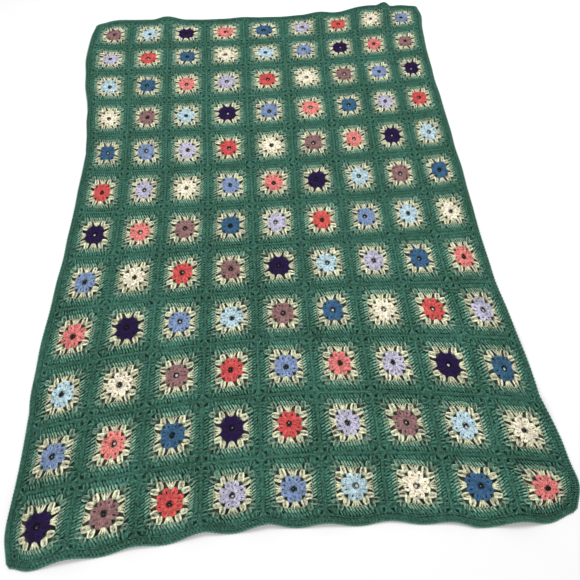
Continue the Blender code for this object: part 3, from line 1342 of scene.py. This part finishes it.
@dataclass
class FlowerRound:
    """The flower: a ring round the centre hole, inner posts and eight puffed petals, in mm."""

    ring_out: float = 8.9
    ring_high: float = 4.5
    ring_thick: float = 2.0
    ring_points: int = 16
    inner_posts: int = 16
    petals: int = 8
    # A ring of painted shade inside the centre hole, and a band under the inner posts lit lighter than
    # the yarn with painted light.
    webs: tuple[RingWeb, ...] = (RingWeb(4.6, 7.6, -1.6), RingWeb(7.6, 18.0, 1.2))
    web_high: float = 4.4
    axis_gusset: tuple[PostRow, ...] = (
        PostRow(13.0, 4.0, 0.0),
        PostRow(17.0, 4.5, 1.8),
        PostRow(20.4, 4.0, 1.9),
        PostRow(23.6, 3.0, 0.0),
    )
    corner_gusset: tuple[PostRow, ...] = (
        PostRow(11.0, 4.0, 0.0),
        PostRow(14.0, 4.4, 1.6),
        PostRow(16.8, 4.0, 1.5),
        PostRow(19.6, 3.0, 0.0),
    )
    posts: tuple[PostRow, ...] = (
        PostRow(7.6, 3.8, 0.0),
        PostRow(10.0, 4.8, 2.7),
        PostRow(13.6, 5.0, 2.8),
        PostRow(18.0, 4.5, 0.0),
    )
    petal: tuple[PuffRow, ...] = (
        PuffRow(10.5, 1.8, 0.6, 3.4, 3.6, 0.0),
        PuffRow(14.6, 4.2, 1.5, 4.9, 5.2, 1.9),
        PuffRow(19.6, 6.0, 3.0, 4.9, 3.6, 2.0),
        PuffRow(23.0, 5.3, 1.9, 4.6, 4.6, 2.0),
        PuffRow(26.2, 3.4, 1.2, 4.1, 4.4, 2.0),
        PuffRow(29.8, 0.8, 0.3, 2.6, 2.8, 0.0),
    )

    def work(self, squares: Squares, finishes: dict[Yarn, bpy.types.Material]) -> list[bpy.types.Object]:
        """Makes all flowers, one piece for each yarn.

        Args:
            squares: the grid they sit in.
            finishes: the yarns' materials.

        Returns:
            The pieces.
        """
        ring = ring_line(self.ring_out, self.ring_high, self.ring_points)
        ring_radii = np.full(self.ring_points, self.ring_thick * MM)
        petals = turned(tilted(puff_strands(self.petal), np.pi / self.petals), self.petals)
        letters = np.array([letter for row in FLOWERS for letter in row])
        pieces = []
        for letter in sorted(set(letters)):
            which, yarn = np.flatnonzero(letters == letter), Yarn(letter)
            slot = YARNS[yarn].slot
            mesh = YarnMesh(f"flowers_{slot.removesuffix('_yarn')}")
            for inner, outer, mood in self.webs:
                lines = (ring_line(out, self.web_high, self.ring_points) for out in (inner, outer))
                mesh.add_band(*(squares.put(line, which) for line in lines), mood, True)
            squares.work(mesh, ring, ring_radii, twine=Twine.LOOP, which=which)
            for rows, count, start, shade in (
                (self.posts, self.inner_posts, 0.0, 0.0),
                (self.axis_gusset, QUARTERS, 0.0, GUSSET_SHADE),
                (self.corner_gusset, QUARTERS, np.pi / 4, GUSSET_SHADE),
            ):
                strands = turned(tilted(radial(rows), start), count)
                squares.work(mesh, strands, column(rows, "thick"), which=which, shade=shade)
            squares.work(mesh, petals, column(self.petal, "thick"), PUFF_SIDES, which=which)
            pieces.append(mesh.build(finishes[yarn], slot))
        return pieces


@dataclass
class ButterRound:
    """The butter round: a fan of posts on each side and two puffs at each corner, in mm."""

    fan_posts: int = 4
    fan_steps: tuple[float, float] = (2.2, 7.9)
    fan_leans: tuple[float, float] = (0.6, -0.9)
    fan_flare: float = 1.8
    fan: tuple[PostRow, ...] = (
        PostRow(22.9, 3.4, 0.0),
        PostRow(25.6, 4.2, 2.1),
        PostRow(30.6, 4.4, 2.6),
        PostRow(35.6, 3.9, 2.4),
        PostRow(40.6, 3.0, 0.0),
    )
    # Bands of painted shade: one under the fan's posts, and a near-black one under the puffs, where the
    # slits and holes show only shade.
    fan_web: WebStrip = WebStrip(24.0, 34.0, 3.6, 7.8, 2.4)
    deep_shade_web: WebStrip = WebStrip(17.0, 37.0, 17.0, 37.0, 1.4)
    puff_foot: tuple[float, float] = (17.9, 21.2)
    puff_tip: tuple[float, float] = (22.9, 39.6)
    puff_leans: tuple[float, float] = (0.4, -0.8)
    puff: tuple[PuffRow, ...] = (
        PuffRow(0.0, 1.4, 0.5, 2.8, 3.0, 0.0),
        PuffRow(2.6, 4.1, 1.4, 4.2, 4.2, 1.9),
        PuffRow(7.0, 4.8, 1.7, 4.9, 4.4, 2.0),
        PuffRow(11.4, 4.4, 2.5, 4.8, 2.7, 1.8),
        PuffRow(14.8, 3.4, 1.2, 4.0, 3.9, 1.8),
        PuffRow(17.2, 1.0, 0.3, 2.6, 2.8, 0.0),
    )
    loops: int = 5
    loop_step: float = 6.7
    loop_reach: float = 3.8
    loop_slant: float = 2.3
    loop_out: float = 38.8
    loop_high: float = 2.5
    loop_thick: float = 1.0

    def top_loops(self) -> np.ndarray:
        """Draws the loops that lie over the fan's top on one side.

        Returns:
            Their strands, (loops, points, 3).
        """
        places = (np.arange(self.loops) - (self.loops - 1) / 2) * self.loop_step + self.fan_leans[1]
        across = places[:, None] + LOOP_SHARES * self.loop_reach
        out = self.loop_out + LOOP_SHARES * self.loop_slant
        return np.stack(np.broadcast_arrays(across, out, self.loop_high), axis=-1) * MM

    def work(self, squares: Squares, finish: bpy.types.Material) -> list[bpy.types.Object]:
        """Makes the fans and the puffs of all squares.

        Args:
            squares: the grid they sit in.
            finish: the butter yarn.

        Returns:
            The two pieces.
        """
        slot = YARNS[Yarn.BUTTER].slot
        fans = YarnMesh("butter_fans")
        squares.lay_webs(fans, [self.fan_web], WEB_PAINTED_SHADE)
        squares.lay_webs(fans, [self.deep_shade_web], DEEP_PAINTED_SHADE)
        posts = post_row(self.fan, self.fan_posts, self.fan_steps, self.fan_leans, self.fan_flare)
        squares.work(fans, turned(posts, QUARTERS), column(self.fan, "thick"), squash=POST_SQUASH)
        loop_radii = LOOP_BULK * self.loop_thick * MM
        squares.work(fans, turned(self.top_loops(), QUARTERS), loop_radii)
        puffs = YarnMesh("butter_puffs")
        strands = corner_puffs(self.puff, self.puff_foot, self.puff_tip, self.puff_leans)
        squares.work(puffs, strands, column(self.puff, "thick"), PUFF_SIDES, shade=CORNERS_SHADE)
        return [fans.build(finish, slot), puffs.build(finish, slot)]


class CornerBridge(NamedTuple):
    """A strand across a corner, in mm: its place on the diagonal, half its reach, height, radius."""

    at: float
    reach: float
    high: float
    thick: float

    def path(self) -> np.ndarray:
        """Draws the strand.

        Returns:
            Its points, (1, points, 3).
        """
        aside = LOOP_SHARES * self.reach
        line = np.broadcast_arrays(self.at + aside, self.at - aside, self.high)
        return np.stack(line, axis=-1)[None] * MM


@dataclass
class PostRound:
    """A round of posts along each side with a pair of clusters at each corner, in mm."""

    name: str
    yarn: Yarn
    posts: int
    step: float
    post_leans: tuple[float, float]
    post: tuple[PostRow, ...]
    cluster_foot: tuple[float, float]
    cluster_tip: tuple[float, float]
    cluster: tuple[PuffRow, ...]
    cluster_leans: tuple[float, float] = (0.8, -0.8)
    webs: tuple[WebStrip, ...] = ()
    bridges: tuple[CornerBridge, ...] = ()
    chain: LoopEdge | None = None

    def work(self, squares: Squares, finish: bpy.types.Material) -> list[bpy.types.Object]:
        """Makes the posts and the corner clusters of all squares.

        Args:
            squares: the grid they sit in.
            finish: the round's yarn.

        Returns:
            The two pieces.
        """
        slot = YARNS[self.yarn].slot
        side = YarnMesh(f"{self.name}_posts")
        squares.lay_webs(side, self.webs, WEB_PAINTED_SHADE)
        posts = post_row(self.post, self.posts, (self.step, self.step), self.post_leans)
        squares.work(side, turned(posts, QUARTERS), column(self.post, "thick"), squash=POST_SQUASH)
        corner = YarnMesh(f"{self.name}_corners")
        clusters = corner_puffs(self.cluster, self.cluster_foot, self.cluster_tip, self.cluster_leans)
        squares.work(corner, clusters, column(self.cluster, "thick"), shade=CORNERS_SHADE)
        for bridge in self.bridges:
            strands = turned(bridge.path(), QUARTERS)
            squares.work(corner, strands, LOOP_BULK * bridge.thick * MM, shade=SEAM_SHADE)
        if self.chain:
            squares.work(corner, self.chain.paths(), self.chain.radii(), shade=SEAM_SHADE)
        return [side.build(finish, slot), corner.build(finish, slot)]


SAGE_ROUND = PostRound(
    name="sage",
    yarn=Yarn.SAGE,
    posts=7,
    step=6.5,
    post_leans=(4.0, -4.2),
    post=(
        PostRow(37.0, 3.0, 0.0),
        PostRow(39.6, 3.6, 1.8),
        PostRow(43.6, 3.7, 2.3),
        PostRow(47.4, 3.3, 2.1),
        PostRow(50.6, 2.4, 0.0),
    ),
    cluster_foot=(30.2, 33.4),
    cluster_tip=(35.6, 50.6),
    cluster=(
        PuffRow(0.0, 0.9, 0.3, 2.4, 2.5, 0.0),
        PuffRow(3.0, 4.0, 1.3, 3.8, 3.7, 1.8),
        PuffRow(7.6, 5.0, 2.3, 4.2, 2.0, 2.0),
        PuffRow(12.6, 4.0, 1.3, 3.7, 3.5, 1.8),
        PuffRow(16.4, 0.9, 0.3, 2.4, 2.5, 0.0),
    ),
)

GREEN_ROUND = PostRound(
    name="green",
    yarn=Yarn.GREEN,
    posts=11,
    step=6.5,
    post_leans=(2.8, -3.2),
    post=(
        PostRow(49.0, 2.6, 0.0),
        PostRow(50.9, 3.4, 2.1),
        PostRow(54.0, 3.8, 2.2),
        PostRow(56.8, 3.4, 2.1),
        PostRow(59.4, 2.4, 0.0),
    ),
    cluster_foot=(43.2, 46.0),
    cluster_tip=(45.8, 60.8),
    cluster=(
        PuffRow(0.0, 0.9, 0.3, 2.2, 2.3, 0.0),
        PuffRow(2.8, 3.8, 1.3, 3.4, 3.2, 1.8),
        PuffRow(7.0, 4.8, 2.0, 3.7, 2.1, 2.0),
        PuffRow(11.2, 4.0, 1.3, 3.3, 3.1, 1.8),
        PuffRow(14.8, 0.9, 0.3, 2.2, 2.3, 0.0),
    ),
    # Bands of painted shade under the posts, the corners and the seam.
    webs=(
        WebStrip(39.0, 49.5, 22.6, 23.6, 2.0),
        WebStrip(49.5, 58.2, 35.2, 35.2, 2.0),
        WebStrip(42.5, 54.2, 42.5, 54.2, 1.7),
        WebStrip(56.8, 63.4, 56.8, 63.4, 1.8),
    ),
    bridges=(CornerBridge(47.6, 4.5, 2.8, 2.3), CornerBridge(58.2, 5.0, 3.2, 2.5)),
    chain=LoopEdge(61.2, 60.4, 74, 4.1, 1.0, 2.5, 1.7),
)


# Backing and joins ---------------------------------------------------------------------------


@dataclass
class PaintedShadeSheet:
    """A thin near-black sheet of painted shade under all the stitches, standing for the shaded depth of
    the fabric: open at the middle of each square.

    Attributes:
        high: how high it lies, in mm.
        rim_high: how high its openings' rims lie, in mm.
        hole: an opening's radius before it varies, in mm.
        hole_varies: the least and the most that it is multiplied by.
        hole_astray: how far an opening strays, in mm.
        rim_points: the points round an opening.
        grid: the sheet's cells to a side of a square.
        grid_clear: how many radii of the opening its grid keeps clear of the middle.
        weld: how close points merge, in metres.
    """

    high: float = 1.1
    rim_high: float = 2.6
    hole: float = 3.0
    hole_varies: tuple[float, float] = (0.12, 1.1)
    hole_astray: float = 0.8
    rim_points: int = 12
    grid: int = 6
    grid_clear: float = 2.0
    weld: float = 1e-7

    def pattern(self) -> tuple[np.ndarray, np.ndarray]:
        """One square of the sheet.

        Returns:
            Its points from the square's middle, those of the opening's rim first, and its triangles.
        """
        half = LAY.square / 2
        lines = np.linspace(-half, half, self.grid + 1)
        x, y = np.meshgrid(lines, lines)
        flat = np.stack([x.ravel(), y.ravel()], axis=-1)
        flat = flat[np.linalg.norm(flat, axis=1) > self.grid_clear * self.hole * MM]
        rim = ring_line(self.hole, 0.0, self.rim_points)[0, :, :2]
        edges = [(k, (k + 1) % self.rim_points) for k in range(self.rim_points)]
        points = [Vector(point) for point in np.concatenate([rim, flat])]
        found, _, faces, *_ = delaunay_2d_cdt(points, edges, [], 0, self.weld)
        faces = np.array(faces)
        return np.array([tuple(point) for point in found]), faces[(faces >= self.rim_points).any(axis=1)]

    def work(self, squares: Squares, finish: bpy.types.Material) -> bpy.types.Object:
        """Makes the sheet of painted shade under all squares, its openings as uneven as handmade ones.

        Args:
            squares: the grid it lies under.
            finish: the near-black green that paints the shade.

        Returns:
            The piece.
        """
        flat, faces = self.pattern()
        count, chance = len(squares.middles), squares.chance
        many = np.concatenate([flat, np.full((len(flat), 1), self.high * MM)], axis=1)
        many = np.repeat(many[None], count, axis=0)
        rims = many[:, : self.rim_points, :2]
        rims *= chance.uniform(*self.hole_varies, (count, 1, 1))
        rims += chance.normal(0.0, self.hole_astray * MM, (count, 1, 2))
        many[:, : self.rim_points, 2] = self.rim_high * MM
        which = np.arange(count)
        points = LAY.place(squares.settle(many[:, None], which).reshape(-1, 3))
        corners = (faces[None] + len(flat) * which[:, None, None]).ravel()
        triangles = len(corners) // 3
        mesh = mesh_from("painted_shade_sheet", points, corners, np.full(triangles, 3), np.zeros(triangles, bool))
        return dressed(mesh, finish)


@dataclass
class Joins:
    """The joins between squares: a chain of loops laid along every seam, in mm."""

    loops: int = 19
    high: float = 2.8
    thick: float = 1.4
    sway: float = 0.7
    swell: float = 0.2
    # Painted shade on the joins.
    shade: float = 0.15

    def work(self, squares: Squares, finish: bpy.types.Material) -> bpy.types.Object:
        """Makes the joins, each the length of a whole seam between two squares.

        Args:
            squares: the grid they hold together.
            finish: the green yarn.

        Returns:
            The piece.
        """
        half = LAY.square / 2
        at = np.linspace(-half, half, 2 * self.loops + 1)
        beat = np.where(np.arange(len(at)) % 2, 1, -1)
        side = beat * self.sway * MM / 2
        high = np.full(len(at), self.high * MM)
        radii = (1 + self.swell * beat) * self.thick * MM
        mesh = YarnMesh("joins")
        across, along = squares.middles.T / LAY.square
        for line, inner in (
            ((half + side, at, high), across < LAY.half_across - 1),
            ((at, half + side, high), along < LAY.half_along - 1),
        ):
            path, which = np.stack(line, axis=-1)[None], np.flatnonzero(inner)
            squares.work(mesh, path, radii, which=which, shade=self.shade)
        return mesh.build(finish, YARNS[Yarn.GREEN].slot)


# Edging --------------------------------------------------------------------------------------


class EdgingRow(NamedTuple):
    """A round of the edging's stitches: from and to how far out in mm, and its shift in stitches."""

    inner: float
    outer: float
    phase: float


class EdgingChain(NamedTuple):
    """A chain that runs round the edging, in mm: how far out, its height and its radius."""

    out: float
    high: float
    thick: float


@dataclass
class Edging:
    """Two tight rounds worked round the joined squares, each with a chain at its lip.

    Attributes:
        loop_step: how far apart the stitches stand, in mm.
        corner_share: a corner's radius as a share of how far out the line runs.
        sharpest_bend: the least radius of a corner, in metres.
        rows: the rounds.
        stitch_shares: where a stitch's points stand from its foot to its tip.
        stitch_bulk: how full the yarn is at each of them.
        lean: how far a stitch leans along the edge, in mm.
        thick: the yarn's radius, in mm.
        high: how high a stitch stands, in mm.
        arch: how much lower its ends are, in mm.
        astray: how far its points stray, in mm.
        plump: how much its radius varies.
        chains: the chains.
        chain_sway: how far a chain's points stand aside in turn, in mm.
        chain_swell: how much its radius swells and thins in turn.
        chain_mood: its mood.
        shade_strip_high: how high the strip of painted shade under the stitches lies, in mm.
        shade_strip_reach: from and to how far out it lies, in mm.
        backing_mood: its value, below 0 for painted shade.
    """

    loop_step: float = 6.7
    corner_share: float = 0.93
    sharpest_bend: float = 0.0001
    rows: tuple[EdgingRow, ...] = (EdgingRow(0.3, 6.8, 0.0), EdgingRow(5.7, 12.8, 0.5))
    stitch_shares: tuple[float, ...] = (0.0, 0.3, 0.55, 0.8, 1.0)
    stitch_bulk: tuple[float, ...] = (0.0, 0.9, 1.0, 0.9, 0.0)
    lean: float = 3.6
    thick: float = 2.2
    high: float = 3.4
    arch: float = 1.4
    astray: float = 0.25
    plump: float = 0.06
    chains: tuple[EdgingChain, ...] = (EdgingChain(6.3, 2.9, 1.0), EdgingChain(12.8, 2.7, 1.9))
    chain_sway: float = 0.4
    chain_swell: float = 0.22
    chain_mood: float = 0.5
    shade_strip_high: float = 1.0
    shade_strip_reach: tuple[float, float] = (0.05, 12.6)
    backing_mood: float = -0.8

    def line(self, out: float, count: int, phase: float = 0.0) -> tuple[np.ndarray, np.ndarray]:
        """Places round the blanket at one distance outside the outer seam.

        Args:
            out: the distance, in metres.
            count: how many places.
            phase: where the first is, in steps.

        Returns:
            The places and the ways outwards from them, both (count, 2).
        """
        half = np.array([LAY.half_across, LAY.half_along]) * LAY.square + out
        bend = max(self.corner_share * out, self.sharpest_bend)
        straight = 2 * (half - bend)
        quarter = np.pi / 2 * bend
        lengths = np.array([straight[0], quarter, straight[1], quarter] * 2)
        ends = np.cumsum(lengths)
        at = (np.arange(count) + phase) / count * ends[-1]
        part = np.searchsorted(ends, at, side="right").clip(0, len(lengths) - 1)
        into = at - (ends - lengths)[part]
        side, turn = part // 2, part % 2
        ways = np.array([(0, -1), (1, 0), (0, 1), (-1, 0)], float)
        runs = np.array([(1, 0), (0, 1), (-1, 0), (0, -1)], float)
        way, run = ways[side], runs[side]
        inner = half - bend
        start = way * inner - run * inner
        end = way * inner + run * inner
        angle = into / bend
        bent = way * np.cos(angle)[:, None] + run * np.sin(angle)[:, None]
        outwards = np.where(turn[:, None] == 1, bent, way)
        centre = np.where(turn[:, None] == 1, end, start + run * into[:, None])
        return centre + outwards * bend, outwards

    def add_row(self, mesh: YarnMesh, row: EdgingRow, count: int, chance: np.random.Generator) -> None:
        """Works one round of slanting stitches.

        Args:
            mesh: the mesh that takes them.
            row: the round.
            count: how many stitches it has.
            chance: the generator of what differs between stitches.
        """
        share = np.array(self.stitch_shares)
        foot, _ = self.line(row.inner * MM, count, row.phase)
        tip, _ = self.line(row.outer * MM, count, row.phase + self.lean / self.loop_step)
        flat = foot[:, None] + (tip - foot)[:, None] * share[:, None]
        high = (self.high - self.arch * (2 * share - 1) ** 2) * MM
        high = np.broadcast_to(high, (count, len(share)))
        paths = np.concatenate([flat, high[..., None]], axis=-1)
        paths = paths + chance.normal(0.0, self.astray * MM, paths.shape)
        bulk = np.array(self.stitch_bulk) * self.thick * MM
        radii = bulk * (1 + chance.normal(0.0, self.plump, (count, 1)))
        mesh.add(paths, radii, STRAND_SIDES, Twine.SPINDLE, chance.random(count))

    def add_chain(self, mesh: YarnMesh, chain: EdgingChain, count: int) -> None:
        """Runs one chain round the blanket.

        Args:
            mesh: the mesh that takes it.
            chain: the chain.
            count: how many points it has.
        """
        line, way = self.line(chain.out * MM, count)
        beat = np.where(np.arange(count) % 2, 1, -1)
        line = line + way * (beat * self.chain_sway * MM)[:, None]
        path = np.concatenate([line, np.full((count, 1), chain.high * MM)], axis=-1)[None]
        radii = (1 + self.chain_swell * beat)[None] * chain.thick * MM
        mesh.add(path, radii, PUFF_SIDES, Twine.LOOP, np.array([self.chain_mood]))

    def work(self, squares: Squares, finish: bpy.types.Material) -> list[bpy.types.Object]:
        """Makes the edging's stitches and the thin strip of painted shade they stand on.

        Args:
            squares: the grid it is worked round.
            finish: the edging's yarn.

        Returns:
            The two pieces.
        """
        around = 4 * (LAY.half_across + LAY.half_along) * LAY.square
        count = round(around / (self.loop_step * MM))
        mesh, slot = YarnMesh("edging_stitches"), YARNS[Yarn.EDGING].slot
        for row in self.rows:
            self.add_row(mesh, row, count, squares.chance)
        for chain in self.chains:
            self.add_chain(mesh, chain, 2 * count)
        # A dark strip of painted shade under the edging's stitches.
        high = np.full((2 * count, 1), self.shade_strip_high * MM)
        lines = (self.line(out * MM, 2 * count)[0] for out in self.shade_strip_reach)
        strip = YarnMesh("edging_painted_shade")
        strip.add_band(*(np.hstack([line, high])[None] for line in lines), self.backing_mood, True)
        return [mesh.build(finish, slot), strip.build(finish, slot)]


# Studio --------------------------------------------------------------------------------------


class Lamp(NamedTuple):
    """A square soft lamp over the floor, aimed at the blanket's middle: sizes in m, power in W."""

    name: str
    place: tuple[float, float, float]
    size: float
    power: float


@dataclass(frozen=True)
class Studio:
    """A plain pale floor, soft light from above, and the camera of a person standing over it.

    Attributes:
        camera_at: where the camera stands, in metres.
        pitch: how far it is tilted up from looking straight down, in degrees.
        yaw: how far it is turned to the left, in degrees.
        roll: how far it is rolled about its own axis, in degrees.
        focal_pixels: its focal length, in pixels of the picture.
        image_pixels: the picture's side, in pixels.
        middle_row: the row of the picture that its axis meets.
        sensor: its sensor's width, in mm.
        far_limit: how far it sees, in metres.
        sky_strength: how bright the even sky is.
        lamps: the lamps.
        floor_size: the floor's side, in metres.
        floor_colour: its colour, linear.
        floor_roughness: its roughness.
    """

    camera_at: tuple[float, float, float] = (-0.01399, -0.65017, 1.27986)
    pitch: float = 32.8406
    yaw: float = -4.7811
    roll: float = 0.6308
    focal_pixels: float = 506.01
    image_pixels: int = 580
    middle_row: float = 150.0
    sensor: float = 36.0
    far_limit: float = 100.0
    sky_strength: float = 0.8
    lamps: tuple[Lamp, ...] = (
        Lamp("overhead", (0.5, 0.7, 2.6), 1.0, 80.0),
        Lamp("window", (-2.2, -1.4, 2.8), 1.2, 48.0),
    )
    floor_size: float = 12.0
    floor_colour: tuple[float, float, float] = (0.56, 0.56, 0.56)
    floor_roughness: float = 0.9

    def shoot(self) -> None:
        """Sets up the camera at the photo's viewpoint."""
        data = bpy.data.cameras.new("camera")
        data.sensor_width = self.sensor
        data.lens = self.focal_pixels / self.image_pixels * self.sensor
        data.shift_y = -(self.image_pixels / 2 - self.middle_row) / self.image_pixels
        data.clip_end = self.far_limit
        camera = bpy.data.objects.new("camera", data)
        camera.location = self.camera_at
        turn = (
            Euler((0, 0, math.radians(self.yaw))).to_matrix()
            @ Euler((math.radians(self.pitch), 0, 0)).to_matrix()
            @ Euler((0, 0, math.radians(self.roll))).to_matrix()
        )
        camera.rotation_euler = turn.to_euler()
        bpy.context.scene.collection.objects.link(camera)
        bpy.context.scene.camera = camera

    def light(self) -> None:
        """Lights the scene with the lamps and an even white sky."""
        scene = bpy.context.scene
        world = bpy.data.worlds.new("sky")
        world.use_nodes = True
        back = world.node_tree.nodes["Background"]
        back.inputs["Color"].default_value = (1.0, 1.0, 1.0, 1.0)
        back.inputs["Strength"].default_value = self.sky_strength
        scene.world = world
        for lamp in self.lamps:
            data = bpy.data.lights.new(lamp.name, "AREA")
            data.size, data.energy = lamp.size, lamp.power
            light = bpy.data.objects.new(lamp.name, data)
            light.location = lamp.place
            light.rotation_euler = (-Vector(lamp.place)).to_track_quat("-Z", "Y").to_euler()
            scene.collection.objects.link(light)
        scene.view_settings.view_transform = "Standard"

    def floor(self) -> bpy.types.Object:
        """Makes the plain floor under the blanket.

        Returns:
            The floor.
        """
        half = self.floor_size / 2
        corners = [(-half, -half, 0), (half, -half, 0), (half, half, 0), (-half, half, 0)]
        mesh = bpy.data.meshes.new("floor")
        mesh.from_pydata(corners, [], [(0, 1, 2, 3)])
        made = bpy.data.materials.new("pale_floor")
        made.use_nodes = True
        shader = made.node_tree.nodes["Principled BSDF"]
        shader.inputs["Base Color"].default_value = (*self.floor_colour, 1.0)
        shader.inputs["Roughness"].default_value = self.floor_roughness
        mesh.materials.append(made)
        plane = bpy.data.objects.new("floor", mesh)
        bpy.context.scene.collection.objects.link(plane)
        return plane


def main() -> None:
    """Builds the blanket's pieces in order, then the studio."""
    logging.basicConfig(level=logging.INFO, format="%(message)s")
    groups, squares, studio = ShaderGroups(), Squares(), Studio()
    made = {"plies": groups.plies(), "fuzz": groups.fuzz(), "dye_and_shade": groups.dye_and_shade()}
    finishes = {yarn: finish.material(made) for yarn, finish in YARNS.items()}
    # A near-black sheet of painted shade under all the stitches, open at each centre hole.
    painted_shade_sheet = PaintedShadeSheet().work(squares, finishes[Yarn.PAINTED_SHADE_GREEN])
    stitches = FlowerRound().work(squares, finishes)
    stitches += ButterRound().work(squares, finishes[Yarn.BUTTER])
    stitches += SAGE_ROUND.work(squares, finishes[Yarn.SAGE])
    stitches += GREEN_ROUND.work(squares, finishes[Yarn.GREEN])
    stitches.append(Joins().work(squares, finishes[Yarn.GREEN]))
    rim = Edging().work(squares, finishes[Yarn.EDGING])
    for piece in (painted_shade_sheet, *stitches, *rim):
        report(piece)
    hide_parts("joined_squares")
    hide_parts("edging")
    floor = studio.floor()
    studio.shoot()
    studio.light()


if __name__ == "__main__":
    main()
